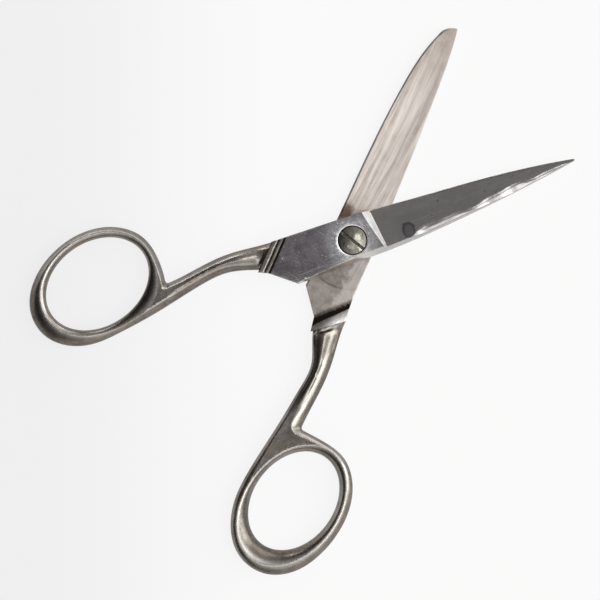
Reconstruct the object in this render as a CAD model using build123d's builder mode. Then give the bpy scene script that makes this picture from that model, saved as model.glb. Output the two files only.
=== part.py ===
"""Forged fabric shears: two nickel-plated halves that cross at a slotted pivot screw.

Each half is drawn in its own frame, with the pivot at the origin, +X towards its tip, +Y towards its
cutting edge and +Z out of its outer face. The joint plane, where the two halves meet, is Z = 0 there.
The front half is then placed outer face up, and the rear half is turned over as the real one is.
All sizes are in millimetres and degrees.
"""

import os
from dataclasses import dataclass
from math import cos, radians, sin, tan

from build123d import *

# The whole tool
half_thickness = 3.2  # a ricasso's thickness, and half of a handle's
blade_gap = 0.04  # running gap between the two inner faces
open_angle = 43.56  # between the two blades as the shears lie

# Pivot screw and its holes
thread_radius = 2.0
shoulder_radius = 2.6
shoulder_clearance = 0.05
head_radius = 4.35
head_clearance = 0.2  # the ring gap round the head
head_seat = 1.5  # depth of the head's counterbore
seat_gap = 0.03  # under the head
head_side = 1.3  # height of the head's straight side
head_dome = 0.8
seat_rim_chamfer = 0.25
slot_width = 0.85
slot_depth = 0.9
slot_angle = 11.0  # from the row's +X
screw_end_recess = 0.1  # how far the screw's end stays inside the rear half
thread_fit = 0.01  # left between the screw's thread and its hole

# Blades
shoulder_x = 8.7  # where a ricasso ends, on the blade's middle line
shoulder_lean = 6.0  # turn of the shoulder from square across the blade
shoulder_taper = 42.0  # slope of the shoulder's bevel from upright
back_bevel_foot = 0.6  # height where the back bevel starts
back_bevel_taper = 33.0  # its lean from upright
inner_bevel_height = 0.3  # a narrower bevel runs along the back's inner side
inner_bevel_width = 0.5
edge_thickness = 0.12  # left at the very edge by the cutting bevel
edge_bevel_taper = 55.0  # slope of the cutting bevel from upright
edge_bevel_top = 1.0  # height that the cutting bevel's plane reaches
hollow_start = 15.0
hollow_length = 50.0
hollow_width = 8.6
hollow_depth = 0.12

# Bolsters: the mouldings between ricasso and handle run slanted across the tool
bolster_angle = 46.5  # from +X
bolster_length = 3.2  # from the first groove to the cove, square to the mouldings
heel_clearance = 0.5  # between a closed half's heel and the step of the other
step_taper = 30.0  # slope of the step's face from upright
groove_width = 0.7
groove_depth = 0.35
ridge_width = 0.75
cove_radius = 3.0
cove_depth = 0.8

# Bows and shanks
swell_sharpness = 5  # how quickly a ring's swell fades away from its far end
crest_outset = 1.55  # from the hole to the crest on the outer face
crest_width = 0.4
inner_outset_near = 2.5  # from the hole to the crest on the inner face, at the shank
inner_outset_far = 5.1  # at the far end
inner_outset_side = 1.8  # and at the two sides
outer_inset_low = 2.0  # from a shank's lower outline to its outer land
outer_inset_high = 1.6
inner_inset_low = 1.3
inner_inset_high = 2.6
waist = 0.96  # a handle is widest this far below the joint plane, and its hole narrowest as far above
crotch_setback = 1.1  # from the crotch's corner to where its rounding starts
inner_crotch_setback = 3.6  # the same on the inner face
side_steps = 5  # strips between a side's waist and each face
ring_turns = (262, 240, 215, 190, 165, 140, 115, 90, 65, 40, 15, -10)
hole_turns = range(0, 360, 30)


@dataclass
class Bow:
    """A finger ring: an elliptical hole in a ring that swells towards its far end."""

    x: float
    y: float
    long: float  # half of the hole's length
    wide: float  # half of its width
    tilt: float
    rim: float  # width of the slim side of the ring
    swell: float  # extra width at the far end
    swell_turn: float  # where round the ring the far end is widest

    def point(self, turn, outset):
        """A point `turn` degrees round the hole and `outset` out from its edge."""
        across, along = cos(radians(turn)), sin(radians(turn))
        edge = Vector(self.long * across, self.wide * along)
        normal = Vector(self.wide * across, self.long * along).normalized()
        return Vector(self.x, self.y) + (edge + normal * outset).rotate(Axis.Z, self.tilt)

    def width(self, turn):
        """The ring's width, from the slim rim to the swollen far end."""
        far_share = ((1 + cos(radians(turn - self.swell_turn))) / 2) ** swell_sharpness
        return self.rim + self.swell * far_share

    def grown(self, near, far, side):
        """The same ellipse, larger by `near` and `far` along its length and `side` across it."""
        shift = Vector((near - far) / 2, 0).rotate(Axis.Z, self.tilt)
        return Bow(
            x=self.x + shift.X,
            y=self.y + shift.Y,
            long=self.long + (near + far) / 2,
            wide=self.wide + side,
            tilt=self.tilt,
            rim=self.rim,
            swell=self.swell,
            swell_turn=self.swell_turn,
        )


@dataclass
class Half:
    """The outline of one half of the shears, in its own frame."""

    edge: list  # upper outline, from the bolster along the cutting edge to the nose
    nose: list  # the nose's end points and the point between them
    back: list  # from the nose to the ricasso
    heel: list  # the ricasso's lower end, from its corner to the bolster
    bolster_x: float  # where the first groove crosses the X axis
    bolster_top: float
    bolster_low: float
    shank_low: list  # lower outline, from the bolster to the ring
    shank_high: list  # upper outline, from the crotch to the bolster
    crotch: tuple
    bow: Bow
    spine: float  # height of the blade's outer face over the pivot
    edge_slope: float  # its fall across the blade, per millimetre
    tip_slope: float  # its fall towards the tip, per millimetre
    middle: float  # the blade's middle line

    def bolster_point(self, behind, y):
        """The point at height y on the line `behind` the first groove."""
        turn = radians(bolster_angle)
        return (self.bolster_x + (cos(turn) * y - behind) / sin(turn), y)

    def bolster_plane(self, behind, height):
        """A plane across the tool: its X runs square to the mouldings, its Y out of the face."""
        turn = radians(bolster_angle)
        origin = Vector(self.bolster_x - behind * sin(turn), behind * cos(turn), height)
        return Plane(origin, x_dir=(-sin(turn), cos(turn), 0), z_dir=(cos(turn), sin(turn), 0))


front = Half(
    edge=[(-10, 7.6), (9, 6.9), (20, 6.05), (35, 5.05), (50, 3.8), (62, 2.35), (72.0, 0.75)],
    nose=[(72.0, 0.75), (72.25, 0.35), (71.7, -0.05)],
    back=[(71.7, -0.05), (64, -1.3), (50, -3.2), (30, -5.3), (14, -6.45), (0, -6.6)],
    heel=[(-19.8, -7.0), (-27.5, -0.8)],
    bolster_x=-26.4,
    bolster_top=7.9,
    bolster_low=0.5,
    shank_low=[(-34, 2.5), (-39.5, 3.6), (-47, 3.0), (-56, 1.1), (-66, -1.0)],
    shank_high=[(-50, 7.6), (-43, 8.6), (-36, 8.9), (-30, 8.4)],
    crotch=(-58.0, 6.7),
    bow=Bow(x=-77.7, y=13.8, long=16.8, wide=12.8, tilt=14.4, rim=3.25, swell=2.85, swell_turn=186),
    spine=1.744,
    edge_slope=0.165,
    tip_slope=0.0117,
    middle=0.1,
)

rear = Half(
    edge=[(-18, 8.4), (-5, 7.6), (9, 6.45), (30, 4.8), (50, 2.9), (65, 1.1), (72.2, -0.3)],
    nose=[(72.2, -0.3), (71.5, -2.5), (68, -4.8)],
    back=[(68, -4.8), (60, -6.7), (50, -7.6), (35, -7.9), (18, -7.55), (4, -7.1)],
    heel=[(-18.5, -6.6), (-26.0, 0.0)],
    bolster_x=-27.2,
    bolster_top=9.3,
    bolster_low=1.1,
    shank_low=[(-34, 3.4), (-39.5, 5.8), (-47, 5.95), (-56, 5.35), (-66, 4.4)],
    shank_high=[(-50, 11.8), (-43, 11.85), (-36, 11.2), (-30, 10.1)],
    crotch=(-58.5, 11.8),
    bow=Bow(x=-79.1, y=19.8, long=16.4, wide=12.35, tilt=10.0, rim=4.05, swell=3.7, swell_turn=169),
    spine=1.6,
    edge_slope=0.15,
    tip_slope=0.0144,
    middle=-1.8,
)


def shares(points):
    """How far along a line each of its points lies, from 0 to 1."""
    reached = [0.0]
    for here, there in zip(points, points[1:]):
        reached.append(reached[-1] + (there - here).length)
    return [length / reached[-1] for length in reached]


def rounded_side(inner, widest, outer, waist_height):
    """Heights and outlines that round a side over, from the inner face by its waist to the outer face.

    The outlines at the three levels have matching points. The side is a quarter ellipse above the
    waist and another one below it.
    """
    levels = []
    for step in range(-side_steps, side_steps + 1):
        turn = radians(90 * abs(step) / side_steps)
        face, face_height = (inner, -half_thickness) if step < 0 else (outer, half_thickness)
        height = waist_height + (face_height - waist_height) * sin(turn)
        drawn_in = 1 - cos(turn)
        levels.append((height, [here + (there - here) * drawn_in for here, there in zip(widest, face)]))
    return levels


def handle_line(half, ring, inset_low, inset_high, setback):
    """The points of a handle's outline: from the bolster round the ring to the crotch, and back.

    `ring` gives the ring's outer line for a turn. The insets move the shank's lines inwards, and
    `setback` is where the crotch's rounding starts and ends.
    """
    low = Vector(0, inset_low)
    high = Vector(0, -inset_high)
    arm = half.bow.point(0, half.bow.width(0)) - ring(0)
    start = Vector(*half.bolster_point(bolster_length / 2, half.bolster_low)) + low
    end = Vector(*half.bolster_point(bolster_length / 2, half.bolster_top)) + high
    crotch = Vector(*half.crotch) + high - Vector(arm.X, 0)
    shank_low = [Vector(*point) + low for point in half.shank_low]
    shank_high = [Vector(*point) + high for point in half.shank_high]
    ring_line = [ring(turn) for turn in ring_turns]
    ring_end = crotch + (ring_line[-1] - crotch).normalized() * setback
    shank_start = crotch + (shank_high[0] - crotch).normalized() * setback
    return [start, *shank_low, *ring_line, ring_end, crotch, shank_start, *shank_high, end]


def handle_faces(half):
    """The handle's faces from its inner side to its outer side."""
    bow = half.bow
    inner = bow.grown(inner_outset_near, inner_outset_far, inner_outset_side)
    outer = bow.grown(crest_outset, crest_outset, crest_outset)
    widest = handle_line(half, lambda turn: bow.point(turn, bow.width(turn)), 0, 0, crotch_setback)
    inner_line = handle_line(
        half, lambda turn: inner.point(turn, crest_width),
        inner_inset_low, inner_inset_high, inner_crotch_setback,
    )
    outer_line = handle_line(
        half, lambda turn: outer.point(turn, crest_width),
        outer_inset_low, outer_inset_high, crotch_setback,
    )
    # The splines of every level share their parameters, which keeps the skin over them light
    crotch = len(half.shank_low) + len(ring_turns) + 2
    out_shares = shares(widest[:crotch])
    back_shares = shares(widest[crotch + 1:])
    faces = []
    for height, line in rounded_side(inner_line, widest, outer_line, -waist):
        with BuildSketch(Plane.XY.offset(height)) as face:
            with BuildLine():
                add(Edge.make_spline(line[:crotch], parameters=out_shares))
                Bezier(line[crotch - 1:crotch + 2])
                add(Edge.make_spline(line[crotch + 1:], parameters=back_shares))
                Line(line[-1], line[0])
            make_face()
        faces.append(face.sketch)
    return faces


def hole_faces(half):
    """The finger hole's faces from the inner side to the outer side, each one closed spline."""
    inner = half.bow.grown(inner_outset_near, inner_outset_far, inner_outset_side)
    outer = half.bow.grown(crest_outset, crest_outset, crest_outset)
    rims = [[bow.point(turn, 0) for turn in hole_turns] for bow in (inner, half.bow, outer)]
    hole_shares = [turn / 360 for turn in hole_turns] + [1]
    faces = []
    for height, rim in rounded_side(*rims, waist):
        with BuildSketch(Plane.XY.offset(height)) as face:
            with BuildLine():
                add(Edge.make_spline(rim, periodic=True, parameters=hole_shares))
            make_face()
        faces.append(face.sketch)
    return faces


def plate_outline(half):
    """The plan of blade, ricasso and bolster."""
    top = half.bolster_point(bolster_length, half.bolster_top)
    low = half.bolster_point(bolster_length, half.bolster_low)
    with BuildSketch() as outline:
        with BuildLine():
            Spline(top, *half.edge)
            ThreePointArc(*half.nose)
            Spline(*half.back)
            Polyline(half.back[-1], *half.heel, low, top)
        make_face()
    return outline.sketch


def blade_plane(half):
    """The plane of the blade's outer face, with its origin on the shoulder and X along the blade."""
    height = half.spine - half.tip_slope * shoulder_x
    normal = Vector(half.tip_slope, half.edge_slope, 1)
    lean = radians(shoulder_lean)
    along = Vector(cos(lean), sin(lean), 0)
    along -= Vector(0, 0, along.dot(normal))
    return Plane((shoulder_x, 0, height), x_dir=along, z_dir=normal)


def beyond_back(half, height, lean):
    """What lies outside the blade's back at a height, where the outline leans in by `lean`."""
    reach = 2 * half.nose[1][0]
    back = [(x, y + lean) for x, y in half.back]
    corner_x, corner_y = half.heel[0]
    with BuildSketch(Plane.XY.offset(height)) as region:
        with BuildLine():
            Spline(*back)
            Polyline(
                back[-1], (corner_x, corner_y + lean), (corner_x, -reach), (reach, -reach),
                (reach, back[0][1]), back[0],
            )
        make_face()
    return region.sketch


def beyond_edge(half, height, lean):
    """What lies outside the cutting edge at a height, from the shoulder to the nose."""
    reach = 2 * half.nose[1][0]
    edge = [(x, y - lean) for x, y in half.edge if x > shoulder_x]
    with BuildSketch(Plane.XY.offset(height)) as region:
        with BuildLine():
            Spline(*edge)
            Polyline(edge[-1], (reach, edge[-1][1]), (reach, reach), (edge[0][0], reach), edge[0])
        make_face()
    return region.sketch


def heel_space(half, other, height):
    """The room that the other half's heel needs in this half once the shears are closed."""
    reach = half.nose[1][0]
    corner, low = [Vector(x, -y) for x, y in other.heel]
    beyond = corner + (corner - low)
    end_x, end_y = other.bolster_point(bolster_length, other.bolster_low)
    clearance = heel_clearance + (blade_gap / 2 - height) * tan(radians(step_taper))
    with BuildSketch(Plane.XY.offset(height)) as space:
        with BuildLine():
            Polyline(
                beyond, low, (end_x, -end_y), (end_x, -reach), (reach, -reach), (reach, beyond.Y), beyond
            )
        make_face()
        offset(amount=clearance, kind=Kind.INTERSECTION)
    return space.sketch


def forged_half(half, other):
    """One whole half in its own frame, without its pivot hole."""
    reach = half.nose[1][0]
    inner_face = blade_gap / 2
    with BuildPart() as forging:
        # Blade and ricasso, as one plate that stands on the running gap
        with BuildSketch(Plane.XY.offset(inner_face)):
            add(plate_outline(half))
        extrude(amount=half_thickness - inner_face)
        # The blade's outer face is ground down in front of the ricasso's bevelled shoulder
        with BuildSketch(blade_plane(half)):
            Rectangle(reach, reach, align=(Align.MIN, Align.CENTER))
        extrude(amount=2 * half_thickness, taper=-shoulder_taper, mode=Mode.SUBTRACT)
        # A bevel runs along the whole back, from the heel to the nose
        bevel_run = (half_thickness - back_bevel_foot) * tan(radians(back_bevel_taper))
        loft(
            [beyond_back(half, back_bevel_foot, 0), beyond_back(half, half_thickness, bevel_run)],
            ruled=True, mode=Mode.SUBTRACT,
        )
        loft(
            [
                beyond_back(half, inner_face, inner_bevel_width),
                beyond_back(half, inner_face + inner_bevel_height, 0),
            ],
            ruled=True, mode=Mode.SUBTRACT,
        )
        # The cutting bevel meets the edge's side a little above the inner face
        edge_run = tan(radians(edge_bevel_taper))
        loft(
            [
                beyond_edge(half, inner_face + above, (above - edge_thickness) * edge_run)
                for above in (0, edge_bevel_top)
            ],
            ruled=True, mode=Mode.SUBTRACT,
        )
        # The inner face is hollow ground, so that only edge and back touch
        barrel_radius = (hollow_width**2 / 4 + hollow_depth**2) / (2 * hollow_depth)
        axis_height = inner_face + hollow_depth - barrel_radius
        hollow_end = hollow_start + hollow_length
        with BuildSketch(Plane.XZ.offset(-half.middle)):
            with BuildLine():
                ThreePointArc(
                    (hollow_start, inner_face),
                    (hollow_start + hollow_length / 2, inner_face + hollow_depth),
                    (hollow_end, inner_face),
                )
                Polyline(
                    (hollow_end, inner_face), (hollow_end, axis_height),
                    (hollow_start, axis_height), (hollow_start, inner_face),
                )
            make_face()
        barrel_axis = Axis((0, half.middle, axis_height), (1, 0, 0))
        revolve(axis=barrel_axis, mode=Mode.SUBTRACT)
        # The bolster goes through to the inner side, as thick as the handle
        with BuildSketch(Plane.XY.offset(-half_thickness)):
            add(plate_outline(half))
            with Locations(half.bolster_plane(-bolster_length, 0).origin):
                Rectangle(
                    reach, reach, rotation=bolster_angle, align=(Align.CENTER, Align.MIN),
                    mode=Mode.INTERSECT,
                )
        extrude(amount=half_thickness + inner_face)
        loft(handle_faces(half), ruled=True)
        loft(hole_faces(half), ruled=True, mode=Mode.SUBTRACT)
        loft(
            [heel_space(half, other, -2 * half_thickness), heel_space(half, other, inner_face)],
            ruled=True, mode=Mode.SUBTRACT,
        )
        # Mouldings: two V grooves with a ridge between them, and a cove where the handle starts
        moulding_run = 2 * (half.bolster_top - half.bolster_low)
        for behind in (0, groove_width + ridge_width):
            with BuildSketch(half.bolster_plane(behind, half_thickness)):
                with BuildLine():
                    Polyline(
                        (-groove_width, groove_depth), (groove_width, groove_depth),
                        (0, -groove_depth), (-groove_width, groove_depth),
                    )
                make_face()
            extrude(amount=moulding_run, both=True, mode=Mode.SUBTRACT)
        cove_run = (cove_radius**2 - (cove_radius - cove_depth) ** 2) ** 0.5
        with BuildSketch(half.bolster_plane(bolster_length + cove_run, 0)):
            with Locations(
                (0, half_thickness + cove_radius - cove_depth),
                (0, cove_depth - half_thickness - cove_radius),
            ):
                Circle(cove_radius)
        extrude(amount=moulding_run, both=True, mode=Mode.SUBTRACT)
    return forging.part


def lying(turn, outer_face_up):
    """The plane of a half that points `turn` from the row's +X, on the joint plane."""
    return Plane(
        (0, 0, half_thickness),
        x_dir=(cos(radians(turn)), sin(radians(turn)), 0),
        z_dir=(0, 0, outer_face_up),
    )


bore_radius = shoulder_radius + shoulder_clearance
seat_radius = head_radius + head_clearance

with BuildPart(lying(90 - open_angle / 2, 1)) as front_half:
    add(forged_half(front, rear))
    with Locations((0, 0, half_thickness)):
        CounterBoreHole(bore_radius, seat_radius, head_seat)
        Cone(
            seat_radius - seat_rim_chamfer, seat_radius + seat_rim_chamfer, 2 * seat_rim_chamfer,
            mode=Mode.SUBTRACT,
        )

with BuildPart(lying(90 + open_angle / 2, -1)) as rear_half:
    add(forged_half(rear, front))
    with Locations((0, 0, half_thickness)):
        Hole(thread_radius)

with BuildPart() as pivot_screw:
    inner_face_height = half_thickness - blade_gap / 2
    head_bottom = 2 * half_thickness - head_seat + seat_gap
    head_shoulder = head_bottom + head_side
    with BuildSketch(Plane.XZ):
        with BuildLine():
            Polyline(
                (0, head_shoulder + head_dome), (0, screw_end_recess),
                (thread_radius - thread_fit, screw_end_recess),
                (thread_radius - thread_fit, inner_face_height),
                (shoulder_radius, inner_face_height), (shoulder_radius, head_bottom),
                (head_radius, head_bottom), (head_radius, head_shoulder),
            )
            dome_radius = (head_radius**2 + head_dome**2) / (2 * head_dome)
            RadiusArc((head_radius, head_shoulder), (0, head_shoulder + head_dome), -dome_radius)
        make_face()
    revolve(axis=Axis.Z)
    with BuildSketch(Plane.XY.offset(head_shoulder + head_dome)):
        Rectangle(2 * head_radius + slot_width, slot_width, rotation=slot_angle)
    extrude(amount=-slot_depth, mode=Mode.SUBTRACT)

front_half.part.label = "front_half"
rear_half.part.label = "rear_half"
pivot_screw.part.label = "pivot_screw"

os.makedirs("parts", exist_ok=True)
export_step(front_half.part, "parts/front_half.step")
export_step(rear_half.part, "parts/rear_half.step")
export_step(pivot_screw.part, "parts/pivot_screw.step")
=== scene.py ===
"""Fabric shears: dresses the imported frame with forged, plated and ground steel, and a plain stage.

The two halves are drawn in their own frames, in millimetres, with the pivot at the origin, +X towards
the tip, +Y towards the cutting edge, +Z out of the outer face and the joint plane at Z = 0.
"""

from dataclasses import dataclass, replace
from math import atan, cos, pi, radians, sin, sqrt, tan

import bmesh
import bpy
import numpy as np
from bpy.props import FloatProperty, FloatVectorProperty, PointerProperty
from mathutils import Matrix, Vector
from mathutils.geometry import delaunay_2d_cdt


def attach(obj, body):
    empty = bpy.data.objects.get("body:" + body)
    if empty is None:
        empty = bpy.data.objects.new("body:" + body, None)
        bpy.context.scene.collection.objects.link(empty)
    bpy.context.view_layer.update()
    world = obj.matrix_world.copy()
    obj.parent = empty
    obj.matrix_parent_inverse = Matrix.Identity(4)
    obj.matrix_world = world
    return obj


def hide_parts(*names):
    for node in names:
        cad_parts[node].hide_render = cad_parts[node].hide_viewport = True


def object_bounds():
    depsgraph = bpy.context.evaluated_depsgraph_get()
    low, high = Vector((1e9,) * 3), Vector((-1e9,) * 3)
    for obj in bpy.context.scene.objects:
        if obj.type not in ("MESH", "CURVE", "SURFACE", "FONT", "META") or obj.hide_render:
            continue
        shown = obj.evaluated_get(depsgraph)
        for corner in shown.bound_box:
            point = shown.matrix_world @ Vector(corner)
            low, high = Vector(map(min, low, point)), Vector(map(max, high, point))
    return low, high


bl_info = {
    "name": "Fabric Shears",
    "version": (1, 0, 0),
    "blender": (4, 5, 0),
    "location": "View3D > Sidebar > Shears",
    "description": "Builds fabric shears round their packed frame",
    "category": "Add Mesh",
}

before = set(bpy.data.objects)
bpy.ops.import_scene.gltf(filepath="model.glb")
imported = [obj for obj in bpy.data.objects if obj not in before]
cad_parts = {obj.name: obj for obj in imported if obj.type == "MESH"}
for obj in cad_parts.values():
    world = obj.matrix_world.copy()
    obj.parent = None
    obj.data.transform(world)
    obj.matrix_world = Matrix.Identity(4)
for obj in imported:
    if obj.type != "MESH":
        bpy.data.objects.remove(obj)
cad_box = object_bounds()

MILLIMETRE = 0.001
TABLE_TO_JOINT = 3.2  # height of the joint plane, and a ricasso's thickness
RUNNING_GAP = 0.02  # half of the gap between the two inner faces
OPEN_ANGLE = 43.56

# Pivot screw and its holes
THREAD_RADIUS = 2.0
THREAD_CLEARANCE = 0.01
SHANK_RADIUS = 2.6
BORE_RADIUS = 2.65
HEAD_RADIUS = 4.35
SEAT_RADIUS = 4.55
SEAT_FLOOR = 1.7
RIM_WIDTH = 0.25
RIM_ROLL = 0.14  # how steeply the face falls to the screw's seat
HEAD_UNDERSIDE = 1.73
HEAD_SHOULDER = 3.03
HEAD_TOP = 3.83
HEAD_ROUNDING = 0.13
HEAD_RINGS = (4.34, 4.31, 4.27, 4.22, 4.1, 3.85, 3.5, 3.1, 2.2, 1.5, 1.0, 0.5)
SCREW_END = -3.1
SLOT_WIDTH = 0.85
SLOT_FLOOR = 2.93
SLOT_TURN = 11.0
SLOT_BEVEL = 0.07
SLOT_SHADE_WIDTH = 0.17
STEEP = 0.03  # plan width of a wall that stands almost upright

# Blades
SHOULDER_X = 8.7
SHOULDER_LEAN = 6.0
SHOULDER_RUN = tan(radians(42.0))  # how far the shoulder runs for each millimetre that it rises
BACK_BEVEL_FOOT = 0.6
BACK_BEVEL_RUN = tan(radians(33.0))
INNER_BEVEL_HEIGHT = 0.3
INNER_BEVEL_WIDTH = 0.5
EDGE_THICKNESS = 0.12
EDGE_BEVEL_RUN = tan(radians(55.0))
HOLLOW_START = 15.0
HOLLOW_LENGTH = 50.0
HOLLOW_WIDTH = 8.6
HOLLOW_DEPTH = 0.12
ROLL_SLOPE = 0.34
ROLL_START = 1.1
ROLL_X = (SHOULDER_X, 20, 45, 66, 72)
ROLL_SHARE = (0.13, 0.20, 0.29, 0.52, 0.66)  # of the blade's width, at each ROLL_X
ROLL_WAVES = ((0.16, 3.7, 0.8), (0.07, 1.6, 0.0))  # size, length and start of each

# Ricassos and bolsters
RICASSO_BEVEL_WIDTH = (TABLE_TO_JOINT - BACK_BEVEL_FOOT) * BACK_BEVEL_RUN
HEEL_BEVEL_SHARE = 0.3  # how much of that width is left at the heel
BEVEL_ROLL = (0.020, 2.0)  # how fast and over what width a ricasso falls to its bevel
RIM_FALL = (0.016, 1.9)  # the same, towards its sides
RIM_ROUNDING = 0.11
BOLSTER_ANGLE = 46.5
BOLSTER_LENGTH = 3.2
HEEL_CLEARANCE = 0.5
STEP_RUN = tan(radians(45.0))
HANDLE_STEP_DEPTH = 0.2  # how far below the joint plane a handle's inner face is at least
INNER_RIDGE = 0.9  # how far behind the bolster's end the ridge over the step lies
GROOVE_WIDTH = 0.7
GROOVE_DEPTH = 0.35
RIDGE_WIDTH = 0.75
GROOVES = (0, GROOVE_WIDTH + RIDGE_WIDTH)
COVE_DEPTH = 0.8
COVE_LENGTH = 8.0
COVE_LIP = 0.25  # the share of its depth that the outer cove has at the bolster's end
COVE_FALL = 0.9
COVE_FLOOR_END = 1.2
SHARP_ANGLE = 38

# How wide the creases are rounded over
SHOULDER_FOOT_BLEND = 0.1
SHOULDER_BLEND = 0.16
BEVEL_BLEND = 0.12
EDGE_BLEND = 0.02
GROOVE_BLEND = 0.09
STEP_BLEND = 0.05
STEP_FOOT_BLEND = 0.3
SLOPE_BLEND = 0.12

# Where the plan's triangles follow a line
PLATE_SPACING = 0.8
HANDLE_SPACING = 0.45
ROUNDING_INSETS = (0.035, 0.11)
FALL_INSETS = (0.3, 0.65, 1.1, 1.6)
ROLL_LINES = (0.12, 0.2, 0.28, 0.36, 0.44, 0.52, 0.6, 0.7, 0.8)  # shares of the blade's width
BEVEL_LINES = (2.2, 2.7, 3.2, 3.7)  # from the ricasso's back
GROOVE_LINES = (-0.42, -0.35, -0.28, -0.08, 0, 0.08, 0.28, 0.35, 0.42)  # from each groove
STEP_LINES = (0.3, 0.4, 0.5, 0.6, 0.7, 1.0, 1.4, 1.8, 2.2, 2.6, 3.0)  # from the other half's heel
HANDLE_STEP_LINES = np.arange(2.4, 4.1, 0.1)
RUNGS = (*np.arange(3.0, 6.0, 0.2), *np.arange(6.0, 12.0, 0.5))  # across the shank, from the first groove

# Bows and shanks
SWELL_SHARPNESS = 5
CREST_OUTSET = 1.55
CREST_WIDTH = 0.4
INNER_OUTSET_NEAR = 2.5
INNER_OUTSET_FAR = 5.1
INNER_OUTSET_SIDE = 1.8
OUTER_INSET_LOW = 2.0
OUTER_INSET_HIGH = 1.6
INNER_INSET_LOW = 1.3
INNER_INSET_HIGH = 2.6
WAIST = 0.96
OUTER_BLUNTNESS = 1.2  # 2 is a plain ellipse from waist to crest, and less makes a crisper crest
HOLE_BLUNTNESS = 1.6
CROTCH_SETBACK = 1.1
INNER_CROTCH_SETBACK = 3.6
INNER_CROTCH_DEPTH = 0.7
CROWN_PLACES = ((0, 3, 17, 23), (0.3, 1, 0.8, 0))  # how much of the crown there is, behind the bolster
TUCK = 0.04  # how far a handle starts under its bolster
RING_TURNS = (262, 240, 215, 190, 165, 140, 115, 90, 65, 40, 15, -10)
WEB_TURN = 303  # where round the hole the web is
WEB_SHARPNESS = 13


@dataclass
class Bow:
    """A finger ring: an elliptical hole in a ring that swells towards its far end."""

    x: float
    y: float
    long: float
    wide: float
    tilt: float
    rim: float
    swell: float
    swell_turn: float

    def point(self, turn, outset):
        """Points `turn` degrees round the hole and `outset` out from its edge."""
        across, along = np.cos(np.radians(turn)), np.sin(np.radians(turn))
        edge = np.stack([self.long * across, self.wide * along], -1)
        normal = np.stack([self.wide * across, self.long * along], -1)
        normal /= np.linalg.norm(normal, axis=-1, keepdims=True)
        spot = edge + normal * np.asarray(outset)[..., None]
        tilt = radians(self.tilt)
        return spot @ np.array([[cos(tilt), sin(tilt)], [-sin(tilt), cos(tilt)]]) + (self.x, self.y)

    def width(self, turn):
        """The ring's width, from the slim rim to the swollen far end."""
        return self.rim + self.swell * swelling(turn, self.swell_turn, SWELL_SHARPNESS)

    def on_inner_face(self):
        """The larger ellipse that the hole has on the inner face."""
        tilt = radians(self.tilt)
        shift = (INNER_OUTSET_NEAR - INNER_OUTSET_FAR) / 2
        return replace(
            self, x=self.x + shift * cos(tilt), y=self.y + shift * sin(tilt),
            long=self.long + (INNER_OUTSET_NEAR + INNER_OUTSET_FAR) / 2, wide=self.wide + INNER_OUTSET_SIDE,
        )


@dataclass
class Half:
    """The outline of one half of the shears, in its own frame."""

    edge: list
    nose: list
    back: list
    heel: list
    bolster_x: float
    bolster_top: float
    bolster_low: float
    shank_low: list
    shank_high: list
    crotch: tuple
    bow: Bow
    spine: float
    edge_slope: float
    tip_slope: float
    middle: float
    web_flare: float  # extra width of the hole's slope on the outer face, beside the web
    shank_crown: float  # how far the shank's lands fall from their crest to their edges

    def bolster_point(self, behind, y):
        """The point at height y on the line `behind` the first groove."""
        turn = radians(BOLSTER_ANGLE)
        return (self.bolster_x + (cos(turn) * y - behind) / sin(turn), y)

    def behind(self, spots):
        """How far behind the first groove each spot is, square to the mouldings."""
        turn = radians(BOLSTER_ANGLE)
        return cos(turn) * spots[:, 1] - sin(turn) * (spots[:, 0] - self.bolster_x)


FRONT = Half(
    edge=[(-10, 7.6), (9, 6.9), (20, 6.05), (35, 5.05), (50, 3.8), (62, 2.35), (72.0, 0.75)],
    nose=[(72.0, 0.75), (72.25, 0.35), (71.7, -0.05)],
    back=[(71.7, -0.05), (64, -1.3), (50, -3.2), (30, -5.3), (14, -6.45), (0, -6.6)],
    heel=[(-19.8, -7.0), (-27.5, -0.8)],
    bolster_x=-26.4,
    bolster_top=7.9,
    bolster_low=0.5,
    shank_low=[(-34, 2.5), (-39.5, 3.6), (-47, 3.0), (-56, 1.1), (-66, -1.0)],
    shank_high=[(-50, 7.6), (-43, 8.6), (-36, 8.9), (-30, 8.4)],
    crotch=(-58.0, 6.7),
    bow=Bow(x=-77.7, y=13.8, long=16.8, wide=12.8, tilt=14.4, rim=3.25, swell=2.85, swell_turn=186),
    spine=1.744,
    edge_slope=0.165,
    tip_slope=0.0117,
    middle=0.1,
    web_flare=2.2,
    shank_crown=0.5,
)

REAR = Half(
    edge=[(-18, 8.4), (-5, 7.6), (9, 6.45), (30, 4.8), (50, 2.9), (65, 1.1), (72.2, -0.3)],
    nose=[(72.2, -0.3), (71.5, -2.5), (68, -4.8)],
    back=[(68, -4.8), (60, -6.7), (50, -7.6), (35, -7.9), (18, -7.55), (4, -7.1)],
    heel=[(-18.5, -6.6), (-26.0, 0.0)],
    bolster_x=-27.2,
    bolster_top=9.3,
    bolster_low=1.1,
    shank_low=[(-34, 3.4), (-39.5, 5.8), (-47, 5.95), (-56, 5.35), (-66, 4.4)],
    shank_high=[(-50, 11.8), (-43, 11.85), (-36, 11.2), (-30, 10.1)],
    crotch=(-58.5, 11.8),
    bow=Bow(x=-79.1, y=19.8, long=16.4, wide=12.35, tilt=10.0, rim=4.05, swell=3.7, swell_turn=169),
    spine=1.6,
    edge_slope=0.15,
    tip_slope=0.0144,
    middle=-1.8,
    web_flare=1.2,
    shank_crown=0.6,
)


# ------------------------------------------------------------------ shares from 0 to 1

def fading(distance, width, start=1.0):
    """Falls from `start` by 1 for each `width` of distance, and is held between 0 and 1."""
    return np.clip(start - distance / width, 0, 1)


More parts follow.
